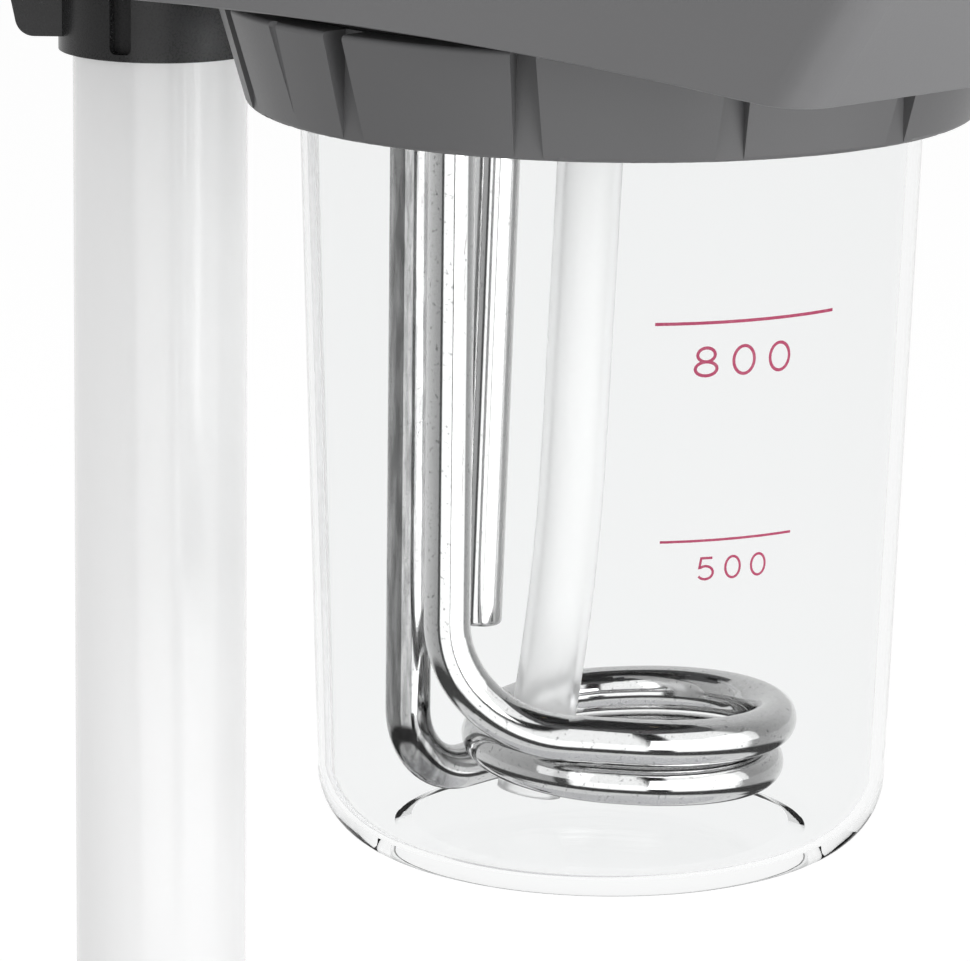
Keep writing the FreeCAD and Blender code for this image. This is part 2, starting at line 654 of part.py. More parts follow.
def panel_shape(shape, across, up, proud):
    centre, tilt = panel_frame()
    rotation = FreeCAD.Rotation(V(1, 0, 0), tilt)
    spot = centre + rotation.multVec(V(across, up, proud))
    moved = shape.copy()
    moved.Placement = FreeCAD.Placement(spot, rotation).multiply(shape.Placement)
    return moved


def knob_shape():
    """A tapered knob with a fluted skirt edge and a raised pointer bar."""
    radius, high = size("knob_radius"), size("knob_high")
    skirt = Part.makeCylinder(radius, 3)
    crown = Part.makeCone(radius - 2.5, radius - 4.5, high - 3, V(0, 0, 3))
    body = skirt.fuse(crown)
    notches = []
    for index in range(20):
        angle = math.radians(18 * index)
        spot = V((radius - 2.2) * math.cos(angle), (radius - 2.2) * math.sin(angle), 3.5)
        notches.append(Part.makeCylinder(1.1, high, spot))
    body = body.cut(Part.makeCompound(notches))
    pointer = Part.makeBox(3, radius - 5, 1.2, V(-1.5, 0, high - 0.2))
    body = body.fuse(pointer)
    bore = Part.makeCylinder(size("shaft_radius") + 0.05, 12.1, V(0, 0, -0.1))
    return body.cut(bore).removeSplitter()


def make_controls():
    plate_thick = 1.6
    half_wide, half_high = 56.0, 29.0
    plate = Part.makeBox(2 * half_wide, 2 * half_high, plate_thick,
                         V(-half_wide, -half_high, 0))
    corners = [edge for edge in plate.Edges if edge.BoundBox.ZLength > plate_thick * 0.9]
    plate = plate.makeFillet(6, corners)
    for side in (-1, 1):
        hole = Part.makeCylinder(6, 6, V(side * size("knob_x"), size("knob_up"), -2))
        plate = plate.cut(hole)
        lamp = Part.makeCylinder(size("lamp_radius"), 6,
                                 V(side * size("lamp_x"), size("lamp_up"), -2))
        plate = plate.cut(lamp)
    long, wide = size("rocker_long") + 2.4, size("rocker_wide") + 2.4
    plate = plate.cut(Part.makeBox(long, wide, 6, V(-long / 2, size("rocker_up") - wide / 2, -2)))
    solid_node("control_panel_solid", panel_shape(plate, 0, 0, 0), "control_panel")

    for side, knob_node, body_node in ((-1, "heat_knob", "heat_regulator"),
                                       (1, "timer_knob", "run_timer")):
        x, up = side * size("knob_x"), size("knob_up")
        solid_node(knob_node + "_solid", panel_shape(knob_shape(), x, up, plate_thick + 0.4),
                   knob_node)
        case = Part.makeBox(30, 28, 20, V(-15, -14, -24.6))
        bushing = Part.makeCylinder(4.5, 4.6 + 1.0, V(0, 0, -4.6))
        shaft = Part.makeCylinder(size("shaft_radius"), 16, V(0, 0, -4.6))
        body = case.fuse([bushing, shaft])
        solid_node(body_node + "_solid", panel_shape(body, x, up, 0), body_node)

    lamps = []
    for side in (-1, 1):
        stem = Part.makeCylinder(size("lamp_radius"), 9, V(0, 0, -7.4))
        dome = Part.makeSphere(size("lamp_radius") + 0.8, V(0, 0, 0), V(0, 0, 1), 0, 90, 360)
        dome.translate(V(0, 0, plate_thick))
        lamp = stem.fuse(dome).removeSplitter()
        lamps.append(panel_shape(lamp, side * size("lamp_x"), size("lamp_up"), 0))
    solid_node("indicator_lamps_solid", Part.makeCompound(lamps), "indicator_lamps")

    # rocker switch: a bezel that snaps into the panel and the rocker that tips in it
    long, wide = size("rocker_long"), size("rocker_wide")
    rim = Part.makeBox(long + 5, wide + 5, 1.4, V(-long / 2 - 2.5, -wide / 2 - 2.5, plate_thick))
    case = Part.makeBox(long + 2.2, wide + 2.2, 20, V(-long / 2 - 1.1, -wide / 2 - 1.1,
                                                     -18.4 + plate_thick))
    well = Part.makeBox(long, wide, 12, V(-long / 2, -wide / 2, -7.0 + plate_thick))
    pivot = V(0, 0, plate_thick - 1.0)
    pin_way = Part.makeCylinder(1.25, wide + 2.4, pivot - V(0, wide / 2 + 1.2, 0), V(0, 1, 0))
    bezel = rim.fuse(case).cut([well, pin_way]).removeSplitter()
    solid_node("rocker_bezel_solid", panel_shape(bezel, 0, size("rocker_up"), 0),
               "rocker_bezel")
    solid_node("power_rocker_solid",
               panel_shape(rocker_shape(long, wide, plate_thick), 0, size("rocker_up"), 0),
               "power_rocker")


def rocker_shape(long, wide, plate_thick):
    """A V-topped rocker on a round pivot pin, tipped to its off side."""
    half = long / 2 - 0.8
    crest = 1.2
    points = [V(-half, 0, -1.5), V(0, 0, -3.2), V(half, 0, -1.5), V(half, 0, 2.6),
              V(0, 0, crest), V(-half, 0, 2.6)]
    wire = Part.makePolygon(points + [points[0]])
    bar = Part.Face(wire).extrude(V(0, wide - 0.8, 0))
    bar.translate(V(0, -(wide - 0.8) / 2, plate_thick))
    bar.rotate(V(0, 0, plate_thick - 1.0), V(0, 1, 0), 7)
    pin = Part.makeCylinder(1.2, wide + 2, V(0, -wide / 2 - 1, plate_thick - 1.0), V(0, 1, 0))
    return bar.fuse(pin).removeSplitter()


# Boiler closure
def make_boiler_flange():
    flange = turned("flange_turned", [
        ("0", "size.seal_top"), ("size.flange_skirt", "size.seal_top"),
        ("size.flange_skirt", "size.flange_low"), ("size.flange_radius", "size.flange_low"),
        ("size.flange_radius", "size.head_floor"), ("0", "size.head_floor")])
    holes = []
    spots = [("size.front_leg_x", "size.coil_y - size.big_turn", "size.heater_radius + 0.1"),
             ("size.back_leg_x", "%g" % back_leg_y(), "size.heater_radius + 0.1"),
             ("size.probe_x", "0", "size.probe_radius + 0.3"),
             ("size.dip_x", "0", "4.05")]
    for index, (x, y, radius) in enumerate(spots):
        holes.append(cylinder("flange_hole%d" % index, radius, "12", x, y, "14"))
    drill = fuse("flange_drill", *holes)
    drill.Placement = FreeCAD.Placement(V(0, 0, 0), FreeCAD.Rotation(Z_AXIS,
                                                                     size("heater_turn")))
    riser = cylinder("flange_riser_hole", "size.cond_tube + 0.1", "12",
                     "size.riser_x", "size.cond_y - size.cond_radius", "14")
    relief = cylinder("flange_relief_hole", "3.05", "12", "22", "-26", "14")
    screws, screw_ways = [], []
    for index, (x, y) in enumerate(flange_screw_spots()):
        screw_ways.append(cylinder("flange_screw_way%d" % index, "2", "12", x, y,
                                   "size.head_floor - 2.5"))
        shank = cylinder("flange_shank%d" % index, "2", "5.5", x, y, "size.head_floor - 2.5")
        head = cylinder("flange_screw_head%d" % index, "3.6", "2.4", x, y,
                        "size.head_floor + size.floor_thick")
        screws.append(fuse("flange_screw%d" % index, shank, head))
    keep(cut("boiler_flange_solid", flange, drill, riser, relief, *screw_ways),
         "boiler_flange")
    keep(group("flange_screws_group", *screws), "flange_screws")
    gasket = turned("flange_gasket_solid", [
        ("size.gasket_inner", "size.gasket_low"), ("size.rim_radius", "size.gasket_low"),
        ("size.rim_radius", "size.seal_top"), ("size.gasket_inner", "size.seal_top")])
    keep(gasket, "flange_gasket")


def make_ring_nut():
    body = turned("ring_nut_solid", [
        ("size.ring_bore - 2.2", "0"), ("size.ring_low_radius", "0"),
        ("size.ring_high_radius", "size.ring_high"), ("size.ring_bore", "size.ring_high"),
        ("size.ring_bore", "size.rim_low"), ("size.ring_lip", "size.rim_low"),
        ("size.ring_lip", "size.rim_low - 4"), ("size.ring_bore - 2.2", "size.rim_low - 4")])
    round_edges(body, "ring_nut_round", "size.ring_edge",
                ring_edge(size("ring_low_radius"), 0))
    round_edges(body, "ring_nut_top", "0.8", ring_edge(size("ring_high_radius"),
                                                       size("ring_high")))
    sketch = outline(body, "flute_outline", "YZ_Plane", [
        ("-size.flute_low_width / 2", "0"), ("size.flute_low_width / 2", "0"),
        ("size.flute_high_width / 2", "size.ring_high"),
        ("-size.flute_high_width / 2", "size.ring_high")])
    bind(sketch, AttachmentOffset_Base_z="size.ring_low_radius")
    DOC.recompute()
    before = body.Shape.Volume
    flute = body.newObject("PartDesign::Pocket", "flute")
    flute.Profile = sketch
    flute.Length = 20
    flute.Reversed = True
    DOC.recompute()
    around = body.newObject("PartDesign::PolarPattern", "flutes")
    around.Originals = [flute]
    around.Axis = (plane_of(body, "Z_Axis"), [""])
    around.Angle = 360
    bind(around, Occurrences="size.flute_count")
    body.Tip = around
    DOC.recompute()
    print("ring nut: flutes remove %.0f cubic mm" % (before - body.Shape.Volume))
    body.Placement = FreeCAD.Placement(V(0, 0, 0), FreeCAD.Rotation(Z_AXIS, size("ring_turn")))

    # a tapering groove down the outside shows where the thread starts
    lean = (size("ring_high_radius") - size("ring_low_radius")) / size("ring_high")
    angle = math.radians(size("mark_turn"))
    ends = []
    for level in (size("mark_low"), size("ring_high") + 1):
        across = size("ring_low_radius") + lean * level
        ends.append(V(across * math.cos(angle), across * math.sin(angle), level))
    groove = DOC.addObject("Part::Cone", "ring_mark")
    groove.Radius1 = 0.05
    bind(groove, Radius2="size.mark_half")
    groove.Height = (ends[1] - ends[0]).Length
    groove.Placement = FreeCAD.Placement(ends[0], FreeCAD.Rotation(Z_AXIS, ends[1] - ends[0]))
    keep(cut("ring_nut_marked", body, groove), "ring_nut")


def make_jar():
    taper = "size.jar_taper"
    bottom_radius = "size.jar_top_radius + size.jar_bottom * %s" % taper
    neck_radius = "size.jar_top_radius + size.rim_low * %s" % taper
    floor = "size.jar_bottom + size.jar_floor"
    body = turned("glass_jar_solid", [
        ("0", "size.jar_bottom + size.jar_kick"),
        ("36.2 - size.jar_kick", "size.jar_bottom + size.jar_kick"),
        ("37", "size.jar_bottom"), (bottom_radius, "size.jar_bottom"),
        (neck_radius, "size.rim_low"), ("size.rim_radius", "size.rim_low"),
        ("size.rim_radius", "size.gasket_low"),
        ("size.jar_top_radius - size.jar_wall + 0.4", "size.gasket_low"),
        ("size.jar_top_radius - size.jar_wall + 0.3", "size.rim_low"),
        (bottom_radius + " - size.jar_wall", floor), ("0", floor)])
    low_radius = size("jar_top_radius") + size("jar_bottom") * size("jar_taper")
    round_edges(body, "jar_heel_round", "size.jar_heel",
                ring_edge(low_radius, size("jar_bottom")))
    round_edges(body, "jar_inner_round", "size.jar_heel - size.jar_wall",
                ring_edge(low_radius - size("jar_wall"),
                          size("jar_bottom") + size("jar_floor")))
    rim = size("rim_radius")
    round_edges(body, "jar_rim_round", "1.8", lambda edge: (
        ring_edge(rim, size("rim_low"))(edge) or ring_edge(rim, size("gasket_low"))(edge)))
    keep(body, "glass_jar")


# Bent tubes
def biarc(start, start_way, end, end_way):
    """Two arcs that leave start and reach end along the given directions."""
    gap = end - start
    both = start_way + end_way
    curve = 2 * (1 - start_way.dot(end_way))
    lead = gap.dot(both)
    if abs(curve) < 1e-9:
        reach = gap.dot(gap) / (4 * gap.dot(end_way))
    else:
        reach = (-2 * lead + math.sqrt(4 * lead * lead + 4 * curve * gap.dot(gap))) / (2 * curve)
    middle = (start + start_way * reach + end - end_way * reach) * 0.5
    return [arc_from(start, start_way, middle), arc_from(end, end_way * -1, middle, True)]


def arc_from(start, way, end, backwards=False):
    """The arc from start to end that leaves start along way."""
    chord = end - start
    half = chord.Length / 2
    straight = chord.normalize() if chord.Length else chord
    away = way - straight * way.dot(straight)
    angle = math.acos(max(-1.0, min(1.0, way.dot(straight))))
    rise = half * math.tan(angle / 2)
    across = (start + end) * 0.5
    if away.Length > 1e-9:
        across = across + away.normalize() * rise
    points = (end, across, start) if backwards else (start, across, end)
    return Part.Arc(*points).toShape()


def tube_along(edges, radius, bore=0.0):
    """A round tube swept along joined tangent edges."""
    path = Part.Wire(edges)
    start = edges[0].valueAt(edges[0].FirstParameter)
    way = edges[0].tangentAt(edges[0].FirstParameter)
    solids = []
    for size_of in (radius, bore):
        if size_of <= 0:
            continue
        ring = Part.Wire([Part.Circle(start, way, size_of).toShape()])
        solids.append(path.makePipeShell([ring], True, False))
    shape = solids[0] if len(solids) == 1 else solids[0].cut(solids[1])
    ideal = math.pi * (radius ** 2 - bore ** 2) * path.Length
    print("tube: length %.1f, volume %.0f of %.0f" % (path.Length, shape.Volume, ideal))
    return shape


def least_gap(edges, radius, apart):
    """The least clear space between stretches of a tube that are further along it."""
    points, places, along = [], [], 0.0
    for edge in edges:
        steps = max(2, int(edge.Length / 1.0))
        for step in range(steps):
            here = edge.getParameterByLength(edge.Length * step / steps)
            points.append(edge.valueAt(here))
            places.append(along + edge.Length * step / steps)
        along += edge.Length
    least = 1e9
    for index, point in enumerate(points):
        for other in range(index + 1, len(points)):
            if places[other] - places[index] > apart:
                least = min(least, point.distanceToPoint(points[other]) - 2 * radius)
    return least


def coil_wire(stops):
    """Tangent arcs and straight runs through stops of place and direction."""
    edges = []
    for (start, start_way), (end, end_way) in zip(stops, stops[1:]):
        straight = (end - start).normalize()
        if straight.dot(start_way) > 0.99999 and straight.dot(end_way) > 0.99999:
            edges.append(Part.LineSegment(start, end).toShape())
        else:
            edges.extend(biarc(start, start_way, end, end_way))
    return edges


def back_leg_y():
    """Where the back leg stands, from where the lower turn leaves its circle."""
    leave = math.radians(size("leave_turn"))
    middle_y = size("coil_y") - size("big_turn") + 5 + size("small_turn")
    touch_x = 3 - size("small_turn") * math.sin(leave)
    touch_y = middle_y + size("small_turn") * math.cos(leave)
    run = (touch_x - size("back_leg_x")) / math.cos(leave)
    return touch_y - run * math.sin(leave)


def heater_stops():
    """Places and directions along the heater, from the front leg to the back leg."""
    pitch, big, small = size("turn_pitch"), size("big_turn"), size("small_turn")
    x, y, top = size("coil_x"), size("coil_y"), size("coil_top")
    near_y = y - big
    far_y = y + big
    low_near_y = near_y + 5
    low_far_y = low_near_y + 2 * small
    slope = pitch / (2 * math.pi * big)
    right = V(1, 0, -slope).normalize()
    left = V(-1, 0, -slope).normalize()
    front_x, front_bend = size("front_leg_x"), size("front_bend")
    back_x, back_bend = size("back_leg_x"), size("back_bend")
    leave = math.radians(size("leave_turn"))
    touch = V(3 - small * math.sin(leave), low_near_y + small + small * math.cos(leave),
              top - 1.5 * pitch - slope * (2 + small * leave))
    away = V(-math.cos(leave), -math.sin(leave), -slope).normalize()
    back_y = back_leg_y()
    bend_start = V(back_x + back_bend * math.cos(leave), back_y + back_bend * math.sin(leave), 0)
    flat = math.hypot(touch.x - bend_start.x, touch.y - bend_start.y)
    bend_start.z = touch.z - slope * flat
    return [
        (V(front_x, near_y, size("leg_top")), V(0, 0, -1)),
        (V(front_x, near_y, top + front_bend + slope * 11), V(0, 0, -1)),
        (V(front_x + front_bend, near_y, top + slope * (x - front_x - front_bend)), right),
        (V(x, near_y, top), right),
        (V(x, far_y, top - 0.5 * pitch), left),
        (V(x - 2, far_y, top - 0.5 * pitch - 2 * slope), left),
        (V(x - 2, low_near_y, top - pitch + 0.1), right),
        (V(x + 0.5, low_near_y, top - pitch + 0.1 - 2.5 * slope), right),
        (V(x + 0.5, low_far_y, top - 1.5 * pitch), left),
        (V(3, low_far_y, top - 1.5 * pitch - 2 * slope), left),
        (touch, away),
        (bend_start, away),
        (V(back_x, back_y, bend_start.z + back_bend), V(0, 0, 1)),
        (V(back_x, back_y, size("leg_top")), V(0, 0, 1)),
    ]


def make_heater():
    radius, angle = size("heater_radius"), size("heater_turn")
    edges = coil_wire(heater_stops())
    print("heater: least gap to itself %.2f" % least_gap(edges, radius, 30))
    solid_node("heater_coil_solid", tube_along(edges, radius), "heater_coil", angle=angle)
    floor = size("head_floor")
    legs = (V(size("front_leg_x"), size("coil_y") - size("big_turn"), 0),
            V(size("back_leg_x"), back_leg_y(), 0))
    nuts, ends = [], []
    for leg in legs:
        nuts.append(hex_nut(leg + V(0, 0, floor), 8, 7, radius))
        bead = Part.makeCylinder(3.4, 4, leg + V(0, 0, size("leg_top")))
        pin = Part.makeCylinder(1.5, 7, leg + V(0, 0, size("leg_top") + 4))
        ends.append(bead.fuse(pin))
    solid_node("heater_glands_solid", Part.makeCompound(nuts), "heater_glands", angle=angle)
    solid_node("heater_terminals_solid", Part.makeCompound(ends), "heater_terminals",
               angle=angle)


def hex_nut(base, across, high, hole):
    """A six-sided nut of that corner radius round a hole."""
    points = []
    for index in range(7):
        angle = math.radians(60 * index)
        points.append(base + V(across * math.cos(angle), across * math.sin(angle), 0))
    body = Part.Face(Part.makePolygon(points)).extrude(V(0, 0, high))
    return body.cut(Part.makeCylinder(hole, high + 2, base - V(0, 0, 1)))


def make_probe_and_tubes():
    angle, floor = size("heater_turn"), size("head_floor")
    top = floor + 9
    low = V(size("probe_x") - size("probe_lean"), 0, size("probe_low"))
    high = V(size("probe_x"), 0, 14)
    radius = size("probe_radius")
    stem = Part.makeCylinder(radius, (high - low).Length, low, high - low)
    tip_edges = [edge for edge in stem.Edges if edge.BoundBox.ZMax < low.z + 1]
    stem = stem.makeFillet(0.8, tip_edges)
    neck = Part.makeCylinder(radius, top - high.z, high)
    ball = Part.makeSphere(radius, high)
    probe = stem.fuse([neck, ball]).removeSplitter()
    solid_node("temperature_probe_solid", probe, "temperature_probe", angle=angle)
    gland = hex_nut(V(high.x, 0, floor), 7.5, 6, radius)
    solid_node("probe_gland_solid", gland, "probe_gland", angle=angle)

    # dip tube: straight from the flange, then bending away towards the legs
    x, lean, end = size("dip_x"), size("dip_lean"), size("dip_low")
    start = V(x, 0, 14)
    knee = V(x - lean * 0.3, 0, -62)
    way = (knee - start).normalize()
    foot = V(x - lean, -2, end)
    edges = [Part.LineSegment(start, knee).toShape(), arc_from(knee, way, foot)]
    tube = tube_along(edges, size("dip_radius"), size("dip_bore"))
    solid_node("dip_tube_solid", tube, "dip_tube", angle=angle)

    # elbow that carries the dip tube below the flange and the filling hose above it
    high_z = size("hose_high")
    elbow_at = V(x, 0, 0)
    elbow_down = Part.makeCylinder(4, high_z - 14, elbow_at + V(0, 0, 14))
    barb = Part.makeCylinder(3.6, 8, elbow_at + V(0, 0, 6.5))
    collar = Part.makeCylinder(7, 3, elbow_at + V(0, 0, floor))
    corner = Part.makeSphere(4, elbow_at + V(0, 0, high_z))
    turn_back = FreeCAD.Rotation(Z_AXIS, -angle)
    hose_way = turn_back.multVec(hose_direction())
    side = Part.makeCylinder(4, 18, elbow_at + V(0, 0, high_z), hose_way)
    elbow = elbow_down.fuse([barb, collar, corner, side]).removeSplitter()
    solid_node("fill_elbow_solid", elbow, "fill_elbow", angle=angle)


def dip_head_point():
    """The dip tube's place in the flange, in the head's own frame."""
    rotation = FreeCAD.Rotation(Z_AXIS, size("heater_turn"))
    return rotation.multVec(V(size("dip_x"), 0, 0))


def hose_direction():
    start = dip_head_point()
    end = V(size("filler_x"), size("filler_y"), 0)
    return (end - start).normalize()


def make_filler():
    x, y = size("filler_x"), size("filler_y")
    high, top = size("hose_high"), size("head_top")
    way = hose_direction()
    start = dip_head_point() + way * 8 + V(0, 0, high)
    bend = 14.0
    corner = V(x, y, high)
    neck_low = top - 26
    run_end = corner - way * bend
    rise_start = corner + V(0, 0, bend)
    edges = [Part.LineSegment(start, run_end).toShape(),
             arc_from(run_end, way, rise_start),
             Part.LineSegment(rise_start, V(x, y, neck_low + 6)).toShape()]
    hose = tube_along(edges, size("hose_radius"), size("hose_bore"))
    solid_node("fill_hose_solid", hose, "fill_hose")
    neck = turned("filler_neck_solid", [
        ("size.hose_bore - 1.2", "-26"), ("size.hose_bore", "-26"), ("size.hose_bore", "-16"),
        ("size.filler_bore + 2", "-10"), ("size.filler_bore + 2", "0"),
        ("size.filler_bore + 5", "0"), ("size.filler_bore + 5", "2"),
        ("size.filler_bore + 2", "2"), ("size.filler_bore + 2", "6"),
        ("size.filler_bore", "6"), ("size.filler_bore", "-9"),
        ("size.hose_bore - 1.2", "-15")])
    keep(neck, "filler_neck", x="size.filler_x", y="size.filler_y", z="size.head_top")
    cap = turned("filler_cap_solid", [
        ("0", "6.1"), ("size.filler_bore + 2.4", "6.1"), ("size.filler_bore + 2.4", "2.1"),
        ("size.filler_bore + 5", "2.1"), ("size.filler_bore + 5", "9"),
        ("size.filler_bore + 3.5", "10.5"), ("0", "10.5")])
    keep(cap, "filler_cap", x="size.filler_x", y="size.filler_y", z="size.head_top")


def make_relief_and_cutout():
    floor = size("head_floor")
    spot = V(22, -26, 0)
    stem = Part.makeCylinder(3, 12, spot + V(0, 0, floor - 4))
    nut = hex_nut(spot + V(0, 0, floor), 6.5, 6, 3)
    cap = Part.makeCone(5, 3.5, 9, spot + V(0, 0, floor + 8))
    solid_node("relief_valve_solid", stem.fuse([nut, cap]).removeSplitter(), "relief_valve")
    rotation = FreeCAD.Rotation(Z_AXIS, size("heater_turn"))
    centre = rotation.multVec(V(16, 24, 0))
    disc = Part.makeCylinder(8, 6, centre + V(0, 0, floor))
    flangelet = Part.makeCylinder(11, 1.2, centre + V(0, 0, floor))
    tabs = [Part.makeBox(0.8, 5, 7, centre + V(offset, -2.5, floor + 5))
            for offset in (-5, 4.2)]
    solid_node("thermal_cutout_solid", disc.fuse([flangelet] + tabs).removeSplitter(),
               "thermal_cutout")


def make_condenser():
    radius, y = size("cond_radius"), size("cond_y")
    pitch, turns, top = size("cond_pitch"), int(size("cond_turns")), size("cond_top")
    start_y = y - radius
    slope = pitch / (2 * math.pi * radius)
    right, left = V(1, 0, -slope).normalize(), V(-1, 0, -slope).normalize()
    riser_x, bend = size("riser_x"), size("riser_bend")
    bend_high = top + slope * (-riser_x - bend)
    stops = [(V(riser_x, start_y, size("head_floor") - 6), V(0, 0, 1)),
             (V(riser_x, start_y, bend_high - bend), V(0, 0, 1)),
             (V(riser_x + bend, start_y, bend_high), right),
             (V(0, start_y, top), right)]
    for half in range(1, 2 * turns + 1):
        near = half % 2 == 0
        side_y = start_y if near else start_y + 2 * radius
        stops.append((V(0, side_y, top - pitch * half / 2), right if near else left))
    out_x, out_z = size("spout_start"), spout_height()
    stops.append((V(out_x, start_y, out_z), V(1, 0, 0)))
    edges = coil_wire(stops)
    print("condenser: least gap to itself %.2f" % least_gap(edges, size("cond_tube"), 40))
    solid_node("condenser_coil_solid", tube_along(edges, size("cond_tube")), "condenser_coil")

    # outlet: a straight tube from the coil's end through the wall, with a hexagon outside
    tube = Part.makeCylinder(size("cond_tube"), size("spout_end") - out_x,
                             V(out_x, start_y, out_z), V(1, 0, 0))
    tube = tube.makeChamfer(0.5, [edge for edge in tube.Edges
                                  if edge.BoundBox.XMin > size("spout_end") - 0.01])
    collar = hex_ring(V(size("head_half"), start_y, out_z), 9, 5)
    drill = Part.makeCylinder(size("spout_bore"), 60, V(out_x - 1, start_y, out_z), V(1, 0, 0))
    spout = tube.fuse(collar).cut(drill).removeSplitter()
    solid_node("distillate_spout_solid", spout, "distillate_spout")


def spout_height():
    """How high the coil's end and the outlet lie."""
    slope = size("cond_pitch") / (2 * math.pi * size("cond_radius"))
    last = size("cond_top") - size("cond_pitch") * size("cond_turns")
    return last - slope * size("spout_start") / 2


def hex_ring(base, across, long):
    """A six-sided collar along X from base."""
    points = []
    for index in range(7):
        angle = math.radians(60 * index)
        points.append(base + V(0, across * math.cos(angle), across * math.sin(angle)))
    return Part.Face(Part.makePolygon(points)).extrude(V(long, 0, 0))


def make_fan():
    half, low, high = size("fan_half"), size("fan_low"), size("fan_high")
    y, bore, hub = size("cond_y"), size("fan_bore"), size("hub_radius")
    middle = V(0, y, 0)
    frame = Part.makeBox(2 * half, 2 * half, high - low, middle + V(-half, -half, low))
    corners = [edge for edge in frame.Edges if edge.BoundBox.ZLength > high - low - 1]
    frame = frame.makeFillet(5, corners)
    frame = frame.cut(Part.makeCylinder(bore, high, middle + V(0, 0, low - 1)))
    motor = Part.makeCylinder(hub, 4, middle + V(0, 0, low))
    pin = Part.makeCylinder(2, 12, middle + V(0, 0, low + 3))
    struts = [motor, pin]
    for index in range(4):
        strut = Part.makeBox(bore + 2 - hub + 2, 4, 3, V(hub - 2, -2, low))
        strut.rotate(V(0, 0, 0), Z_AXIS, 45 + 90 * index)
        strut.translate(middle)
        struts.append(strut)
    holes = [Part.makeCylinder(2.1, high, middle + V(sx * 35.75, sy * 35.75, low - 1))
             for sx in (-1, 1) for sy in (-1, 1)]
    frame = frame.fuse(struts).cut(Part.makeCompound(holes)).removeSplitter()
    solid_node("fan_frame_solid", frame, "fan_frame")

    hub_shape = Part.makeCylinder(hub, 13, middle + V(0, 0, low + 4.5))
    blades = []
    for index in range(int(size("blade_count"))):
        blade = Part.makeBox(bore - 1.5 - hub + 3, 1.6, 14, V(hub - 3, -0.8, -7))
        blade.rotate(V(0, 0, 0), V(1, 0, 0), 50)
        blade.rotate(V(0, 0, 0), Z_AXIS, 360.0 * index / size("blade_count"))
        blade.translate(middle + V(0, 0, low + 11))
        blades.append(blade)
    rotor = hub_shape.fuse(blades)
    shroud = Part.makeCylinder(bore - 0.9, 13, middle + V(0, 0, low + 4.5))
    rotor = rotor.common(shroud)
    rotor = rotor.cut(Part.makeCylinder(2.05, 11, middle + V(0, 0, low + 4))).removeSplitter()
    solid_node("fan_impeller_solid", rotor, "fan_impeller")

    # round guard that drops into the cover's top
    top, reach = size("head_top"), size("grille_radius")
    rings = []
    for outer, inner in ((reach, reach - 3), (29, 26.8), (20, 17.8), (11, 0)):
        ring = Part.makeCylinder(outer, 2, middle + V(0, 0, top - 1.6))
        if inner:
            ring = ring.cut(Part.makeCylinder(inner, 4, middle + V(0, 0, top - 2.6)))
        rings.append(ring)
    for index in range(6):
        spoke = Part.makeBox(reach - 9, 2, 2, V(8, -1, top - 1.6))
        spoke.rotate(V(0, 0, 0), Z_AXIS, 60 * index)
        spoke.translate(middle)
        rings.append(spoke)
    lip = Part.makeCylinder(reach, 6, middle + V(0, 0, top - 7))
    lip = lip.cut(Part.makeCylinder(reach - 2, 8, middle + V(0, 0, top - 8)))
    guard = rings[0].fuse(rings[1:] + [lip]).removeSplitter()
    solid_node("fan_guard_solid", guard, "fan_guard")


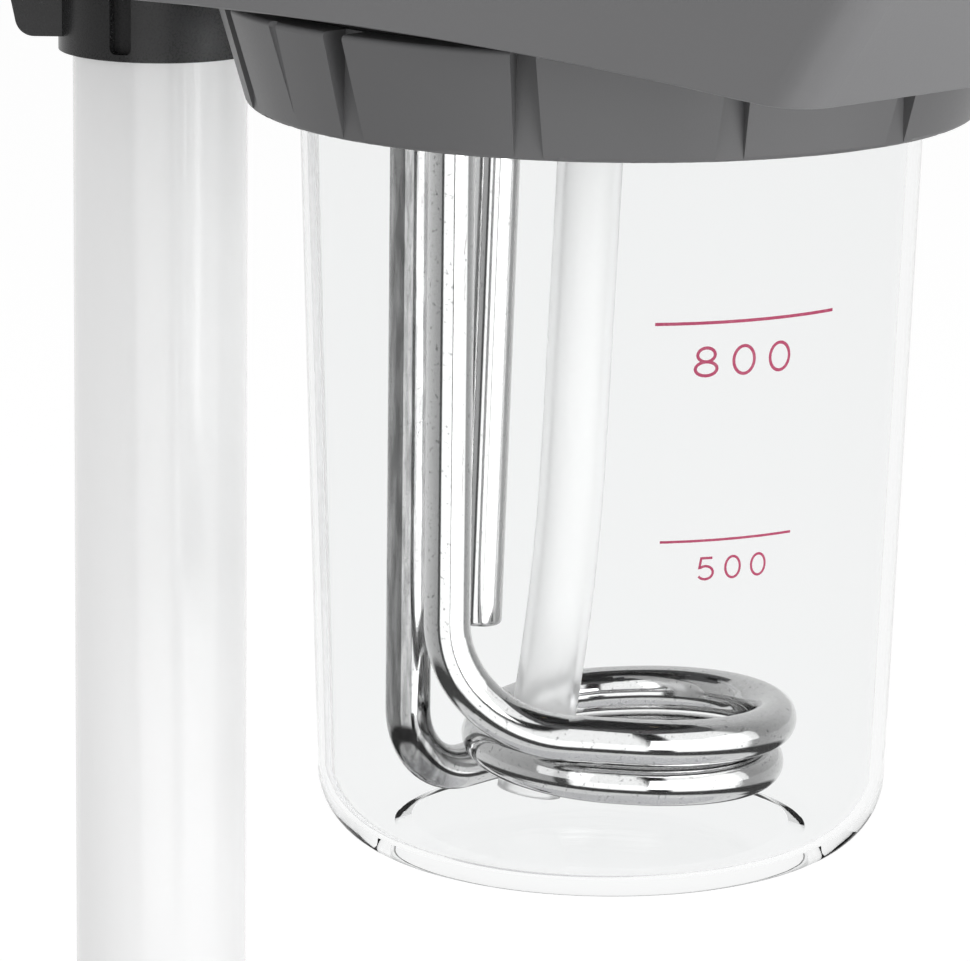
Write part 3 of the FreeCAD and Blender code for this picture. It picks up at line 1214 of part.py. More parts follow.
def make_head_fittings():
    # pole socket that seats on the housing floor
    floor_top = "size.head_floor + size.floor_thick"
    socket = turned("pole_socket_solid", [
        ("size.pole_radius", "0"), ("26", "0"), ("26", "4"), ("18.6", "4"), ("17", "8"),
        ("17", "size.pole_high - 25"), ("size.pole_radius", "size.pole_high - 25")])
    keep(socket, "pole_socket", y="size.column_back", z=floor_top)
    screws = []
    for index in range(4):
        angle = math.radians(45 + 90 * index)
        screws.append(cylinder("pole_screw%d" % index, "3.4", "2.4",
                               "%.6f * 22.5" % math.cos(angle),
                               "size.column_back + %.6f * 22.5" % math.sin(angle),
                               floor_top + " + 4"))
    keep(group("pole_screws_group", *screws), "pole_screws")
    screws = []
    for index, (x, y) in enumerate(boss_spots()):
        head = cylinder("head_screw_head%d" % index, "3.8", "2.6", x, y,
                        "size.head_floor + 2.9")
        shank = cylinder("head_screw_shank%d" % index, "1.75", "40", x, y,
                         "size.head_floor + 2.9")
        screws.append(fuse("head_screw%d" % index, head, shank))
    keep(group("head_screws_group", *screws), "head_screws")
    board = box("control_board_blank", "92", "40", "1.6", "-46", "-102",
                "size.head_floor + size.floor_thick + 5.5")
    parts = [board]
    for index, (x, y, long, wide, high) in enumerate((
            (-36, -96, 20, 16, 14), (-10, -94, 14, 12, 12), (14, -96, 22, 18, 10))):
        parts.append(box("board_part%d" % index, "%g" % long, "%g" % wide, "%g" % high,
                         "%g" % x, "%g" % y, "size.head_floor + size.floor_thick + 7"))
    keep(fuse("control_board_solid", *parts), "control_board")

    # mains inlet in the housing's back wall
    inlet_x, inlet_z = size("inlet_x"), size("inlet_z")
    back = size("head_back")
    flange = Part.makeBox(34, 2.4, 26, V(inlet_x - 17, back, inlet_z - 13))
    upright = [edge for edge in flange.Edges if edge.BoundBox.YLength > 2]
    flange = flange.makeFillet(2.5, upright)
    case = Part.makeBox(27.4, 22, 20.4, V(inlet_x - 13.7, back - 22, inlet_z - 10.2))
    recess = Part.makeBox(24, 18, 17, V(inlet_x - 12, back + 2.5 - 18, inlet_z - 8.5))
    low_edges = [edge for edge in recess.Edges
                 if edge.BoundBox.YLength > 10 and edge.BoundBox.ZMin > inlet_z]
    recess = recess.makeChamfer(4.5, low_edges)
    inlet = flange.fuse(case).cut(recess)
    pins = [Part.makeBox(2, 17, 4, V(inlet_x + dx - 1, back - 17, inlet_z + dz))
            for dx, dz in ((-7, 0), (7, 0), (0, 2))]
    solid_node("mains_inlet_solid", inlet.fuse(pins).removeSplitter(), "mains_inlet")


make_base()
make_column()
make_clamp()
make_lower_shell()
make_upper_cover()
make_controls()
make_boiler_flange()
make_ring_nut()
make_jar()
make_heater()
make_probe_and_tubes()
make_filler()
make_relief_and_cutout()
make_condenser()
make_fan()
make_head_fittings()
DOC.recompute()

# Checks before anything is written
for thing in DOC.Objects:
    for state in thing.State:
        if state in ("Invalid", "Error"):
            raise RuntimeError("%s is %s" % (thing.Label, state))
for node, piece in NODES:
    shape = piece.Shape
    if shape.isNull() or not shape.isValid() or not shape.Solids:
        raise RuntimeError("%s has no valid solid" % node)

os.makedirs("parts", exist_ok=True)
for node, piece in NODES:
    piece.Shape.exportStep("parts/%s.step" % node)
    bounds = piece.Shape.BoundBox
    print("%-20s solids %d volume %9.0f  z %.1f to %.1f" % (
        node, len(piece.Shape.Solids), piece.Shape.Volume, bounds.ZMin, bounds.ZMax))
print("%d nodes" % len(NODES))
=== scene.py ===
# %% [markdown]
# # A bench water distiller in Blender
# The real object boils water in a clear glass jar that hangs under a grey working head.
# Its solid pieces come ready made, at their real size, and this lesson gives them their
# finishes, adds the printed marks and lights the whole like a catalogue picture.

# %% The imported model
import math
import bpy
import bmesh
from mathutils import Matrix, Vector
from mathutils.bvhtree import BVHTree


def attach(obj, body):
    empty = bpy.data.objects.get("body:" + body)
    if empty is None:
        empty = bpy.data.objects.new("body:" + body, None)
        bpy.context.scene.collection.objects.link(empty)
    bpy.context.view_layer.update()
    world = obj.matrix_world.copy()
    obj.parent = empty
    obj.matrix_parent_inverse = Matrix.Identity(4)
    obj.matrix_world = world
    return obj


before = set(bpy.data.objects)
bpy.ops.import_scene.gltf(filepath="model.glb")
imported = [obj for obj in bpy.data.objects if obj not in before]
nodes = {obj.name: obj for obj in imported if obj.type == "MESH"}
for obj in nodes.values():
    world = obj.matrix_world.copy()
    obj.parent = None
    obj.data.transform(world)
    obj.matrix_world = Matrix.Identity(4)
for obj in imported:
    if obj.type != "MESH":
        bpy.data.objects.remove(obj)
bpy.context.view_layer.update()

# %% [markdown]
# The head's pieces were drawn about the jar's axis, from the plane under the ring.
# Keeping that origin here lets the marks on the jar use the same plain numbers.

# %% The head's own origin
MM = 0.001
HEAD = Vector((0, -10, 318)) * MM


def in_head(x, y, z):
    """A point of the head, in millimetres from the jar's axis at the ring's underside."""
    return HEAD + Vector((x, y, z)) * MM


print("ring's underside at", tuple(round(c, 4) for c in HEAD))

# %% [markdown]
# The picture was taken with a long lens from the front left, a little above the jar.
# The camera is set from those facts: which way it looks, how far off it stands, the point
# it looks at and a very small roll.

# %% Camera
AZIMUTH, ELEVATION, ROLL = -45.0, 13.02, 0.681
DISTANCE = 1.0319
FOCAL = 36.0 * 5830 / 970
target = in_head(-15.06, 15.06, -68.19)

a, e, r = (math.radians(angle) for angle in (AZIMUTH, ELEVATION, ROLL))
back = Vector((math.sin(a) * math.cos(e), -math.cos(a) * math.cos(e), math.sin(e)))
level = Vector((math.cos(a), math.sin(a), 0))
upright = back.cross(level)
right = level * math.cos(r) + upright * math.sin(r)
up = back.cross(right)

camera = bpy.data.objects.new("camera", bpy.data.cameras.new("camera"))
bpy.context.scene.collection.objects.link(camera)
camera.data.lens = FOCAL
camera.data.sensor_width = 36.0
camera.data.clip_end = 50
camera.matrix_world = Matrix.Translation(target + back * DISTANCE) @ Matrix(
    (right, up, back)).transposed().to_4x4()
bpy.context.scene.camera = camera
print("camera %.0f mm, %.2f m away" % (FOCAL, DISTANCE))

# %% [markdown]
# A finish is a small graph of nodes. Two helpers keep it readable. `Value` wraps a socket,
# so that plain arithmetic such as `1 - mask` adds the Math nodes by itself. `Graph` wraps
# a node tree and has one method that adds any other node.

# %% Shader helpers
class Value:
    """A socket that can be used in arithmetic."""

    def __init__(self, tree, socket):
        self.tree, self.socket = tree, socket

    def math(self, operation, *others, first=None):
        node = self.tree.nodes.new("ShaderNodeMath")
        node.operation = operation
        terms = (self,) + others if first is None else (first, self) + others
        for slot, term in zip(node.inputs, terms):
            plug(self.tree, slot, term)
        return Value(self.tree, node.outputs[0])

    def __add__(self, other):
        return self.math("ADD", other)

    def __sub__(self, other):
        return self.math("SUBTRACT", other)

    def __rsub__(self, other):
        return self.math("SUBTRACT", first=other)

    def __mul__(self, other):
        return self.math("MULTIPLY", other)

    def __truediv__(self, other):
        return self.math("DIVIDE", other)

    def __gt__(self, other):
        return self.math("GREATER_THAN", other)

    __radd__ = __add__

    def ramp(self, low, high):
        """0 at low, 1 at high, and straight between them."""
        return ((self - low) * (1 / (high - low))).math("MAXIMUM", 0.0).math("MINIMUM", 1.0)


def plug(tree, slot, term):
    """Link a value into a slot, or set the slot if it is a plain number or colour."""
    if isinstance(term, Value):
        tree.links.new(term.socket, slot)
    else:
        slot.default_value = term


class Graph:
    """A node tree with one method that adds nodes."""

    def __init__(self, tree):
        self.tree = tree
        tree.nodes.clear()

    def add(self, kind, settings=None, out=0, **sockets):
        """Add a node: its settings first, then its sockets by name, and give one output."""
        node = self.tree.nodes.new(kind)
        for name, setting in (settings or {}).items():
            if name == "stops":
                set_stops(node.color_ramp, setting)
            else:
                setattr(node, name, setting)
        for name, term in sockets.items():
            if name[0] == "i" and name[1:].isdigit():
                slot = node.inputs[int(name[1:])]
            else:
                slot = node.inputs[name.replace("_", " ")]
            plug(self.tree, slot, term)
        return Value(self.tree, node.outputs[out])

    def split(self, vector):
        """The three numbers of a vector."""
        node = self.tree.nodes.new("ShaderNodeSeparateXYZ")
        self.tree.links.new(vector.socket, node.inputs[0])
        return [Value(self.tree, socket) for socket in node.outputs]


class Finish(Graph):
    """One material and the nodes in it."""

    def __init__(self, name):
        self.material = bpy.data.materials.new(name)
        self.material.use_nodes = True
        super().__init__(self.material.node_tree)
        self.place = self.add("ShaderNodeTexCoord", out="Object")

    def noise(self, scale, detail=3.0, stretch=None):
        """Soft noise with that many waves per metre, stretched if wanted."""
        place = self.place
        if stretch:
            place = self.add("ShaderNodeMapping", i0=self.place, i3=stretch)
        return self.add("ShaderNodeTexNoise", Vector=place, Scale=scale, Detail=detail)

    def blend(self, share, first, second):
        """A colour between two, by a share from 0 to 1."""
        return self.add("ShaderNodeMix", {"data_type": "RGBA"}, out=2,
                        i0=share, i6=first, i7=second)

    def bump(self, height, depth, strength):
        """Normals from a height from 0 to 1 that stands for that many metres."""
        return self.add("ShaderNodeBump", Height=height, Distance=depth, Strength=strength)

    def surface(self, shader):
        """Finish the graph with that shader."""
        output = self.tree.nodes.new("ShaderNodeOutputMaterial")
        self.tree.links.new(shader.socket, output.inputs["Surface"])
        return self.material


def set_stops(ramp, stops):
    """Give a colour ramp its stops, from (place, grey) pairs in order."""
    ramp.elements.remove(ramp.elements[1])
    for i, (place, grey) in enumerate(stops):
        stop = ramp.elements.new(place) if i else ramp.elements[0]
        stop.position = place
        stop.color = (grey, grey, grey, 1.0)


def tone(level, tint=(1, 1, 1)):
    """A colour from a brightness as it looks on screen, from 0 to 255."""
    share = level / 255
    linear = share / 12.92 if share <= 0.04045 else ((share + 0.055) / 1.055) ** 2.4
    return (linear * tint[0], linear * tint[1], linear * tint[2], 1.0)


print("a screen grey of 128 is %.3f as a colour" % tone(128)[0])

# %% [markdown]
# Moulded plastic is matt because the tool was spark eroded: its skin is a field of tiny
# pits about 0.3 mm apart. A fine noise as bump and a little of it in the roughness show
# that up close, and a slow drift in the colour keeps large faces from looking computed.

# %% Moulded plastic
PIT_DEPTH = 0.00003             # metres
DRIFT = 0.025                   # how far the colour drifts to either side


def moulded(name, level, rough=0.42, tint=(1.0, 1.0, 1.02), pits=1.0, shine=0.5):
    f = Finish(name)
    skin = f.noise(2600, detail=2)
    drift = f.noise(18, detail=2)
    colour = f.blend(drift, tone(level * (1 - DRIFT), tint),
                     tone(level * (1 + DRIFT), tint))
    shader = f.add("ShaderNodeBsdfPrincipled", Base_Color=colour,
                   Roughness=skin * 0.12 + (rough - 0.06), Specular_IOR_Level=shine,
                   Normal=f.bump(skin, PIT_DEPTH * pits, 0.5))
    return f.surface(shader)


shell_grey = moulded("shell_grey", 109, rough=0.4, shine=0.3)
# the ring is the shell's grey plastic; its lower grey is painted shade from the shell that
# overhangs it
ring_grey_painted_shade = moulded("ring_grey_painted_shade", 92, rough=0.38, shine=0.3)
collar_grey = moulded("collar_grey", 45, rough=0.28, shine=0.25)
base_white = moulded("base_white", 236, rough=0.4)
black = moulded("black_plastic", 38, rough=0.35)
nylon = moulded("nylon", 226, rough=0.45, tint=(1.0, 0.99, 0.95))
rubber = moulded("foot_rubber", 42, rough=0.7, tint=(1, 1, 1), pits=3)
silicone = moulded("silicone", 214, rough=0.5, tint=(1, 0.99, 0.96))
print("plastics ready")

# %% [markdown]
# The column is steel tube under white gloss enamel. The coat is thick enough to round
# over, so it has a faint orange peel, which the bump gives at about 2 mm.

# %% Enamel
def enamel(name, level):
    f = Finish(name)
    peel = f.noise(420, detail=1)
    # painted reflection: this noise draws faint vertical bands, five greys to either side, into
    # the colour
    drift = f.noise(70, detail=2, stretch=(1, 1, 0.04))
    colour = f.blend(drift, tone(level - 5), tone(level + 5))
    shader = f.add("ShaderNodeBsdfPrincipled", Base_Color=colour, Roughness=drift * 0.06 + 0.22,
                   Coat_Weight=0.35, Coat_Roughness=0.08,
                   Normal=f.bump(peel, 0.00002, 0.3))
    return f.surface(shader)


white_enamel = enamel("white_enamel", 238)
print("enamel ready")

# %% [markdown]
# The immersed tubes are stainless steel, polished bright after bending. The polish leaves
# faint streaks along the tube and a slight waviness, which break up the reflections, and
# boiling leaves small dull specks of scale. The heater's back leg gets a painted dark
# reflection: a mask by the distance from its axis darkens its colour, broken up by noise
# stretched along it.

# %% Metals
BACK_LEG = (-0.027, 0.011)      # where the heater's back leg stands, in metres
LEG_EDGE, LEG_END = 0.005, 0.009    # the mask fades between these distances from its axis
LEG_PAINTED_REFLECTION_GREY = 104               # screen grey of the painted dark reflection on the back leg
WAVINESS = 0.00004              # metres


def near_leg(f, x, y):
    """1 on the upright leg of the heater at x, y and 0 a few millimetres from it."""
    here_x, here_y, _ = f.split(f.place)
    across, along = here_x - x, here_y - y
    return 1 - (across * across + along * along).math("SQRT").ramp(LEG_EDGE, LEG_END)


def steel(name, level, rough, streak, tint=(1, 1, 1), specks=0.0, scale=None):
    """Bright metal: `specks` is a share of dull dots, `scale` the place of the leg with a
    painted dark reflection.
    """
    f = Finish(name)
    fine = f.noise(1400, detail=3)
    slow = f.noise(60, detail=2)
    colour = f.blend(slow, tone(level - 6, tint), tone(level + 6, tint))
    dull = fine.ramp(0.6, 0.72) * specks
    colour = f.blend(dull, colour, tone(level * 0.55, tint))
    # painted dark reflection: the back leg's colour is pulled towards a mid grey, in streaks
    # along it
    if scale:
        painted_reflection_streaks = f.noise(700, detail=4, stretch=(1, 1, 0.12)).ramp(0.3, 0.62)
        colour = f.blend(near_leg(f, *scale) * (0.4 + painted_reflection_streaks * 0.4), colour,
                         tone(LEG_PAINTED_REFLECTION_GREY, tint))
    shader = f.add("ShaderNodeBsdfPrincipled", Base_Color=colour, Metallic=1.0,
                   Roughness=fine * streak + slow * 0.04 + rough,
                   Normal=f.bump(f.noise(160, detail=1), WAVINESS, 0.4))
    return f.surface(shader)


heater_steel = steel("heater_steel", 214, 0.05, streak=0.04, specks=0.5, scale=BACK_LEG)
polished = steel("polished_steel", 214, 0.05, streak=0.04, specks=0.3)
turned = steel("turned_steel", 190, 0.22, streak=0.12)
plated = steel("plated_steel", 176, 0.26, streak=0.15, tint=(1.0, 1.0, 1.02))
plate_steel = steel("plate_steel", 150, 0.4, streak=0.2)
brass = steel("brass_pins", 190, 0.25, streak=0.05, tint=(1.0, 0.78, 0.42))
print("metals ready")

# %% [markdown]
# The jar is blown borosilicate glass, clear and almost without colour. A real lamp lights
# what stands inside it, so rays from lamps pass straight through by a Transparent shader,
# and every other ray is bent by the glass itself. It bends them less than real glass does,
# which keeps the jar's heel as light as it is in the picture.

# %% Glass and clear plastic
GLASS_IOR = 1.055               # low, so that the thin wall looks as light as the real one
TUBE_IOR = 1.12


def see_through(f, shader, passes):
    """Let lamps through a clear shader."""
    lamp_ray = f.add("ShaderNodeLightPath", out="Is Shadow Ray")
    clear = f.add("ShaderNodeBsdfTransparent", Color=passes)
    return f.surface(f.add("ShaderNodeMixShader", i0=lamp_ray, i1=shader, i2=clear))


def jar_glass():
    f = Finish("jar_glass")
    flow = f.noise(22, detail=1, stretch=(1, 1, 0.25))
    shader = f.add("ShaderNodeBsdfPrincipled", Base_Color=(0.94, 0.945, 0.945, 1),
                   Roughness=0.0, IOR=GLASS_IOR, Transmission_Weight=1.0,
                   Normal=f.bump(flow, 0.0004, 0.06))
    return see_through(f, shader, (0.98, 0.982, 0.982, 1))


def milky_tube():
    f = Finish("milky_tube")
    cloud = f.noise(90, detail=2, stretch=(1, 1, 0.2))
    colour = f.blend(cloud, tone(240), tone(250))
    shader = f.add("ShaderNodeBsdfPrincipled", Base_Color=colour, Roughness=cloud * 0.1 + 0.3,
                   IOR=TUBE_IOR, Transmission_Weight=0.8)
    return see_through(f, shader, (0.8, 0.8, 0.8, 1))


glass = jar_glass()
milky = milky_tube()
print("clear materials ready")

# %% [markdown]
# The lamps on the panel are clear amber caps, coloured right through. The circuit board
# is laminate under green lacquer, and a fine noise cut at one level stands for the copper
# tracks under it. Both are small, so one noise each is enough.

# %% Small parts
def glow_lens(name, colour):
    f = Finish(name)
    grain = f.noise(900, detail=1)
    shader = f.add("ShaderNodeBsdfPrincipled", Base_Color=colour, Roughness=grain * 0.08 + 0.12,
                   IOR=1.49, Transmission_Weight=0.3)
    return f.surface(shader)


def board_lacquer():
    f = Finish("board_lacquer")
    tracks = f.noise(500, detail=4)
    colour = f.blend(tracks > 0.52, (0.02, 0.11, 0.05, 1), (0.04, 0.2, 0.09, 1))
    shader = f.add("ShaderNodeBsdfPrincipled", Base_Color=colour, Roughness=tracks * 0.1 + 0.3)
    return f.surface(shader)


amber = glow_lens("amber_lens", (0.8, 0.3, 0.03, 1))
board = board_lacquer()
ceramic = moulded("white_ceramic", 228, rough=0.3)
print("small finishes ready")

# %% [markdown]
# Each solid gets its finish by name. The list is written out, so that a piece without a
# finish stops the script instead of staying plain.

# %% Finishes on the solids
FINISHES = {
    "base_cover": base_white, "base_plate": plate_steel, "rubber_feet": rubber,
    "base_screws": plated, "column_socket": plate_steel, "socket_screws": plated,
    "column_trim": collar_grey, "outer_column": white_enamel, "column_bush": nylon,
    "clamp_collar": collar_grey, "clamp_screw": plated, "clamp_knob": black,
    "inner_pole": turned, "pole_bush": nylon, "pole_socket": turned, "pole_screws": plated,
    "head_lower_shell": shell_grey, "head_upper_cover": shell_grey, "head_screws": plated,
    "boiler_flange": black, "flange_screws": plated, "flange_gasket": silicone,
    "heater_coil": heater_steel, "heater_glands": turned, "heater_terminals": ceramic,
    "temperature_probe": polished, "probe_gland": turned, "thermal_cutout": black,
    "fill_elbow": nylon, "dip_tube": milky, "fill_hose": silicone, "filler_neck": nylon,
    "relief_valve": brass, "condenser_coil": polished, "distillate_spout": polished,
    "fan_frame": black, "fan_guard": black, "control_panel": collar_grey,
    "heat_regulator": black, "run_timer": black, "indicator_lamps": amber,
    "rocker_bezel": black, "control_board": board, "mains_inlet": black,
    "ring_nut": ring_grey_painted_shade, "glass_jar": glass, "heat_knob": black, "timer_knob": black,
    "power_rocker": black, "filler_cap": collar_grey, "fan_impeller": black,
}
for name, obj in nodes.items():
    obj.data.materials.clear()
    obj.data.materials.append(FINISHES[name])
print("finishes on", len(FINISHES), "solids")

# %% [markdown]
# The marks on the jar and the panel are screen printed: flat ink, the same width all
# along, with numerals drawn in single strokes. Each stroke here is a line of points on a
# flat sheet, widened to a ribbon of two triangles a step, and then every point is dropped
# on the real surface along a ray, so that the ink follows the glass or the panel exactly.

# %% Numerals as strokes
def arc(x, y, wide, high, start, end, steps=14):
    """Points of an ellipse about x, y, between two angles in degrees."""
    turns = (math.radians(start + (end - start) * i / steps) for i in range(steps + 1))
    return [(x + wide * math.cos(t), y + high * math.sin(t)) for t in turns]


NUMERALS = {
    "0": [arc(0.5, 0.5, 0.46, 0.5, 0, 360, 24)],
    "1": [[(0.18, 0.76), (0.56, 1), (0.56, 0)]],
    "2": [arc(0.5, 0.7, 0.44, 0.3, 170, -38) + [(0.03, 0), (0.96, 0)]],
    "3": [arc(0.46, 0.76, 0.4, 0.24, 155, -90) + arc(0.46, 0.26, 0.46, 0.26, 90, -155)],
    "4": [[(0.74, 0), (0.74, 1), (0.02, 0.28), (1, 0.28)]],
    "5": [[(0.88, 1), (0.2, 1), (0.1, 0.55)] + arc(0.46, 0.31, 0.47, 0.31, 128, -150)],
    "8": [arc(0.5, 0.75, 0.37, 0.25, -90, 270, 20), arc(0.5, 0.25, 0.46, 0.25, 90, 450, 20)],
}


def number(text, left, low, wide, high, step):
    """Strokes of a number whose numerals start every `step` from `left`."""
    return [[(left + i * step + x * wide, low + y * high) for x, y in stroke]
            for i, letter in enumerate(text) for stroke in NUMERALS[letter]]


print("numerals drawn:", "".join(NUMERALS))


# %% [markdown]
# A squeegee pushes the real ink through a screen on to the curved glass, so it lies on the
# surface and is nowhere thicker than a hair. A ribbon that is dropped along rays does the
# same. Wrapping a flat mesh by a modifier would leave it floating at the edges.

# %% Ink on a surface
def sides(points, width):
    """Each point moved half the width to both sides of the line through the points."""
    closed = math.dist(points[0], points[-1]) < 1e-6
    last = len(points) - 1
    for i, (x, y) in enumerate(points):
        before = points[i - 1] if i else (points[last - 1] if closed else points[0])
        after = points[i + 1] if i < last else (points[1] if closed else points[last])
        into = Vector((x - before[0], y - before[1]))
        out = Vector((after[0] - x, after[1] - y))
        into = into.normalized() if into.length else out.normalized()
        out = out.normalized() if out.length else into
        along = (into + out).normalized()
        across = Vector((-along.y, along.x)) * (width / 2 / max(0.5, along.dot(into)))
        yield (x + across.x, y + across.y), (x - across.x, y - across.y)


INK_LIFT, INK_STEP = 0.04, 0.01     # millimetres: strokes that cross don't share a face


def ink(name, strokes, width, surface, drop, body, material):
    """Ribbons along the strokes; `drop` gives the start and the way of a point's ray."""
    surface_tree = BVHTree.FromPolygons(
        [v.co for v in nodes[surface].data.vertices],
        [tuple(p.vertices) for p in nodes[surface].data.polygons])
    form = bmesh.new()
    for i, stroke in enumerate(strokes):
        lift = (INK_LIFT + INK_STEP * (i % 3)) * MM
        edge = None
        for pair in sides(stroke, width):
            verts = []
            for point in pair:
                start, way = drop(*point)
                hit = surface_tree.ray_cast(start, way)[0]
                verts.append(form.verts.new(hit - way * lift))
            if edge:
                form.faces.new((edge[0], edge[1], verts[1], verts[0]))
            edge = verts
    bmesh.ops.recalc_face_normals(form, faces=form.faces)
    mesh = bpy.data.meshes.new(name)
    form.to_mesh(mesh)
    form.free()
    piece = bpy.data.objects.new(name, mesh)
    bpy.context.scene.collection.objects.link(piece)
    mesh.materials.append(material)
    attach(piece, body)


def ink_finish(name, colour, wear):
    f = Finish(name)
    grain = f.noise(1500, detail=2)
    faded = tuple(c + (1 - c) * wear for c in colour[:3]) + (1,)
    shader = f.add("ShaderNodeBsdfPrincipled", Roughness=grain * 0.1 + 0.4,
                   Base_Color=f.blend(grain.ramp(0.45, 0.75), colour, faded))
    return f.surface(shader)


crimson = ink_finish("crimson_ink", (0.3, 0.02, 0.075, 1), wear=0.05)
panel_white = ink_finish("white_ink", (0.78, 0.78, 0.78, 1), wear=0.0)
print("inks ready")

# %% [markdown]
# The jar has a fill line with a number under it, and a second, smaller one lower down.
# Their places are angles about the jar and heights under the ring, in millimetres along
# the glass. The scale is plain: millilitres of water above the jar's floor.

# %% Marks on the jar
JAR_RADIUS = 53.4


def on_jar(along, height):
    """The ray that finds the glass: from outside, straight towards the jar's axis."""
    turn = along / JAR_RADIUS
    way = Vector((-math.sin(turn), math.cos(turn), 0))
    return in_head(0, 0, height) - way * 0.08, way


def fill_line(left, right, height, steps=40):
    return [(left + (right - left) * i / steps, height) for i in range(steps + 1)]


upper_marks = [fill_line(-35.2, -1.0, -28.9)]
upper_marks += number("800", -28.3, -38.0, 4.2, 4.8, 6.9)
ink("fill_mark_upper", upper_marks, 0.56, "glass_jar", on_jar, "jar", crimson)
lower_marks = [fill_line(-33.5, -8.5, -66.6)]
lower_marks += number("500", -26.6, -73.4, 3.0, 3.7, 5.0)
ink("fill_mark_lower", lower_marks, 0.45, "glass_jar", on_jar, "jar", crimson)
print("marks on the jar: 800 and 500")

# %% [markdown]
# The panel leans back at 45 degrees. Round each knob is a scale of ticks, with numbers
# where the plate has room. They are printed in white and stay put while the knob turns.
# A knob's pointer starts at the top and turns clockwise, so the scale does so too.

# %% Marks on the panel
PANEL_OUT = Vector((0, -1, 1)).normalized()
PANEL_UP = Vector((0, 1, 1)).normalized()
PANEL_CENTRE = in_head(0, -104.1, 83)
TICK_START, TICK_END, LONG_TICK_END = 17.8, 18.8, 19.4      # radii about a knob
NUMBER_ACROSS, NUMBER_UP = 22.4, 22.0                       # radii of the numbers
DEGREES_A_STEP = 30


def on_panel(across, up):
    """The ray that finds the panel: from in front of it, square to its face."""
    place = PANEL_CENTRE + (Vector((across, 0, 0)) + PANEL_UP * up) * MM
    return place + PANEL_OUT * 0.03, -PANEL_OUT


def clockwise(step):
    """The direction of a step of a dial, from the top."""
    angle = math.radians(90 - DEGREES_A_STEP * step)
    return math.cos(angle), math.sin(angle)


def dial(x, y, steps, numbers):
    """A tick at each step, clockwise from the top, and a number at some of them."""
    strokes = []
    for i in range(steps + 1):
        c, s = clockwise(i)
        end = TICK_END if i % 3 else LONG_TICK_END
        strokes.append([(x + c * TICK_START, y + s * TICK_START), (x + c * end, y + s * end)])
    for i, text in numbers.items():
        c, s = clockwise(i)
        left = x + c * NUMBER_ACROSS - (0.95 * len(text) - 0.3)
        strokes += number(text, left, y + s * NUMBER_UP - 1.2, 1.3, 2.4, 1.9)
    return strokes


panel_marks = dial(-36, 2, 9, {0: "0", 3: "1", 6: "2"})
panel_marks += dial(36, 2, 10, {0: "0", 6: "30", 9: "45"})
ink("panel_scales", panel_marks, 0.4, "control_panel", on_panel, "head", panel_white)
print("panel scales printed")

# %% [markdown]
# The studio is a white floor that runs out of sight. The camera, and what it sees through
# glass, finds white there by Light Path, so no extra light falls on the object to get it.
# Bright metal is only as good as what it mirrors. Like a photographer's table, this studio
# has two tall softboxes with dark gaps beside them, a dark ceiling and a pale table, and
# only mirrored rays see them. Everything else is lit by the plain sky and three lamps.

# %% What mirrors see
SOFTBOX = 1.8                  # a softbox next to a white floor of 1
INSIDE_GLASS = 3.0              # a mirror ray that crossed more walls than this stays bright
AROUND = (                     # angle from the camera's side in degrees, brightness
    (-180, 1.0), (-150, 0.95), (-110, 0.8), (-60, 0.55), (-47, 0.5), (-45, 0.1),
    (-36, 0.1), (-32, 1.8), (11, 1.8), (14, 0.03), (29, 0.03), (32, 1.8), (84, 1.8),
    (92, 0.5), (110, 0.55), (150, 0.9), (180, 1.0))
WALLS = ((-48, 0), (-33, 0), (-28, 1), (72, 1), (80, 0))          # height in degrees, share
TABLE_AND_ROOF = ((-90, 0.95), (-49, 0.95), (-46, 0.08), (-34, 0.08), (-28, 0), (72, 0),
                  (80, 0.03), (90, 0.03))


def rays(graph):
    """Shares of seen and of mirrored rays: the rest only carry light to the object."""
    path = graph.tree.nodes.new("ShaderNodeLightPath")

    def ray(name):
        return Value(graph.tree, path.outputs[name])

    clean = 1 - ray("Diffuse Depth").math("MINIMUM", 1.0)
    bounced = ray("Glossy Depth").math("MINIMUM", 1.0)
    through = ray("Is Transmission Ray") * clean
    inside = bounced * (ray("Transmission Depth") > INSIDE_GLASS)
    mirrored = ray("Is Glossy Ray") * ray("Is Reflection Ray") * clean + through * inside
    return ray("Is Camera Ray") + through * (1 - inside), mirrored


def studio(graph, x, y, z):
    """How bright a mirror finds the studio in a direction of length 1."""
    side = math.sqrt(0.5)
    turn = ((x - y) * side).math("ARCTAN2", (x + y) * -side)
    rise = z.math("ARCSINE")
    stops = [(0.5 + angle / 360, grey / SOFTBOX) for angle, grey in AROUND]
    around = graph.add("ShaderNodeValToRGB", {"stops": stops},
                       Fac=turn * (0.5 / math.pi) + 0.5)
    stops = [(0.5 + angle / 180, share) for angle, share in WALLS]
    walls = graph.add("ShaderNodeValToRGB", {"stops": stops}, Fac=rise * (1 / math.pi) + 0.5)
    stops = [(0.5 + angle / 180, grey / SOFTBOX) for angle, grey in TABLE_AND_ROOF]
    rest = graph.add("ShaderNodeValToRGB", {"stops": stops}, Fac=rise * (1 / math.pi) + 0.5)
    return (around * walls + rest) * SOFTBOX


print("softboxes at", [angle for angle, grey in AROUND if grey > 1])

# %% [markdown]
# The table is one white sheet. It is a little under white by its own light, so that the
# object's shadow shows on it, and a weak glow that only the camera sees lifts it to white.
# To a mirror it shows the studio as it looks from the middle of the jar, whichever way the
# mirrored ray came, so that the table's brightness doesn't change with its distance.

# %% Floor
FLOOR_LEVEL, FLOOR_GLOW = 239, 0.32
MIRROR_HEIGHT = 0.24            # the studio's middle above the floor, in metres
FLOOR_HALF = 9


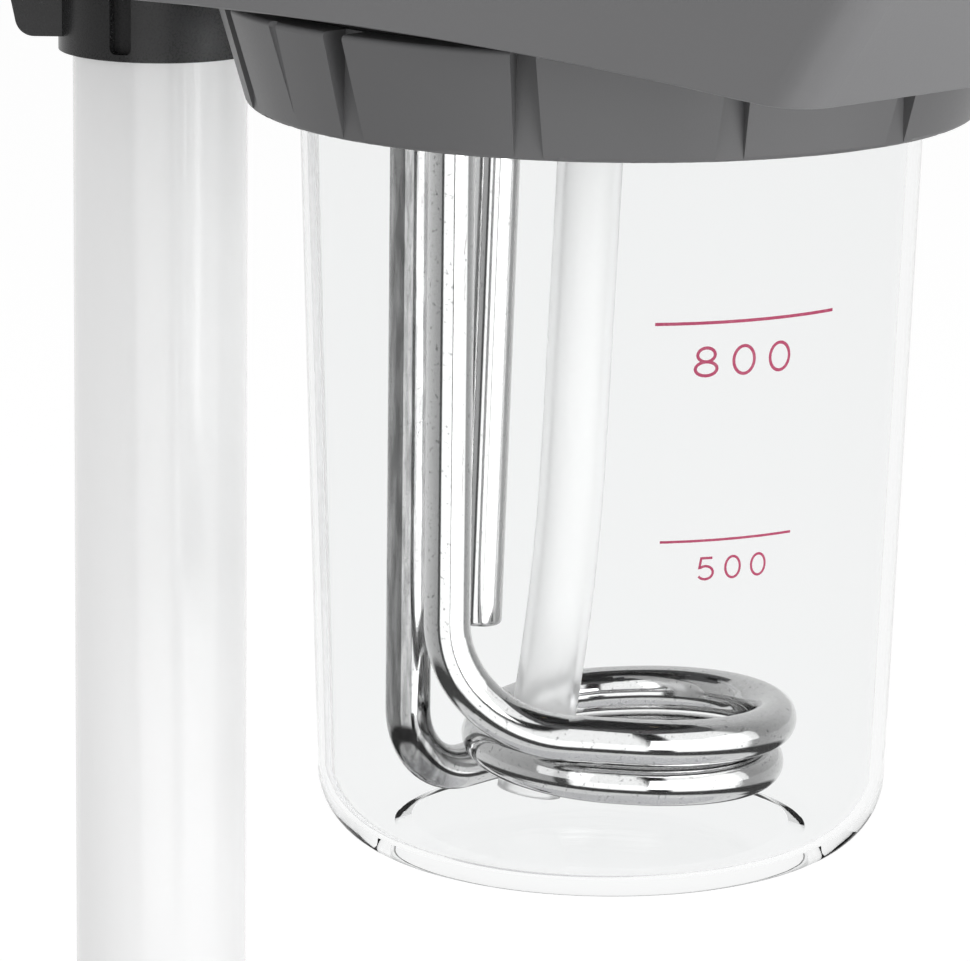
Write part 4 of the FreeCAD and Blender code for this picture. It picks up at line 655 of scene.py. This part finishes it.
def floor_material():
    f = Finish("studio_floor")
    seen, mirrored = rays(f)
    x, y, z = f.split(f.add("ShaderNodeNewGeometry"))
    y = y - HEAD.y
    z = z - MIRROR_HEIGHT
    far = (x * x + y * y + z * z).math("SQRT")
    lit = f.add("ShaderNodeBsdfDiffuse", Color=tone(FLOOR_LEVEL))
    glow = f.add("ShaderNodeEmission", Color=(1, 1, 1, 1), Strength=seen * FLOOR_GLOW)
    mirror = f.add("ShaderNodeEmission", Color=(1, 1, 1, 1),
                   Strength=studio(f, x / far, y / far, z / far))
    plain = f.add("ShaderNodeAddShader", i0=lit, i1=glow)
    return f.surface(f.add("ShaderNodeMixShader", i0=mirrored, i1=plain, i2=mirror))


mesh = bpy.data.meshes.new("studio_floor")
corners = [(-1, -1), (1, -1), (1, 1), (-1, 1)]
mesh.from_pydata([(x * FLOOR_HALF, y * FLOOR_HALF, 0) for x, y in corners], [], [(0, 1, 2, 3)])
floor = bpy.data.objects.new("studio_floor", mesh)
mesh.materials.append(floor_material())
bpy.context.scene.collection.objects.link(floor)
print("floor laid")

# %% [markdown]
# Outside the table is only sky. To the camera it is white, to mirrors it is the studio a
# little darker than on the table, and everything else is lit by a plain grey that leans
# slightly to the left. An even light like this is what a white tent gives.

# %% World
PLAIN, LEAN = 0.752, -0.016     # the sky's light, and how much more of it comes from the right
MIRRORED_SKY = 0.8              # how bright mirrors find the sky, next to the table


def build_world():
    world = bpy.data.worlds.new("studio")
    world.use_nodes = True
    bpy.context.scene.world = world
    sky = Graph(world.node_tree)
    seen, mirrored = rays(sky)
    x, y, z = sky.split(sky.add("ShaderNodeTexCoord"))
    plain = (x - y) * (LEAN * math.sqrt(0.5)) + PLAIN
    mirror = mirrored * studio(sky, x, y, z) * MIRRORED_SKY
    strength = seen + mirror + (1 - seen - mirrored) * plain
    output = sky.tree.nodes.new("ShaderNodeOutputWorld")
    plug(sky.tree, output.inputs["Surface"],
         sky.add("ShaderNodeBackground", Color=(1, 1, 1, 1), Strength=strength))


build_world()
print("sky ready")

# %% [markdown]
# Three square lamps add direction to the tent's light: a large key from the front right, a
# large fill from the left, and a small kicker from low in front for the underside of the
# head. Mirrors don't show them, because the drawn softboxes are what mirrors see.

# %% Lamps
def softbox(name, place, aim, size, power):
    """A square lamp that faces a point, and that mirrors don't show."""
    lamp = bpy.data.objects.new(name, bpy.data.lights.new(name, "AREA"))
    lamp.data.size = size
    lamp.data.energy = power
    lamp.location = place
    lamp.rotation_mode = "QUATERNION"
    lamp.rotation_quaternion = (Vector(aim) - Vector(place)).to_track_quat("-Z", "Y")
    lamp.visible_glossy = lamp.visible_camera = False
    bpy.context.scene.collection.objects.link(lamp)


middle = in_head(0, 0, -60)
softbox("key", middle + Vector((1.2, -1.8, 0.3)), middle, 1.5, 6.5)
softbox("fill", middle + Vector((-1.8, -0.2, 0.6)), middle, 1.4, 5.5)
softbox("kicker", in_head(-60, -430, -70), in_head(0, -110, 40), 0.35, 1.2)
print("lamps ready")

# %% [markdown]
# Standard keeps a white of 1 at 255, as in the picture.

bpy.context.scene.view_settings.view_transform = "Standard"
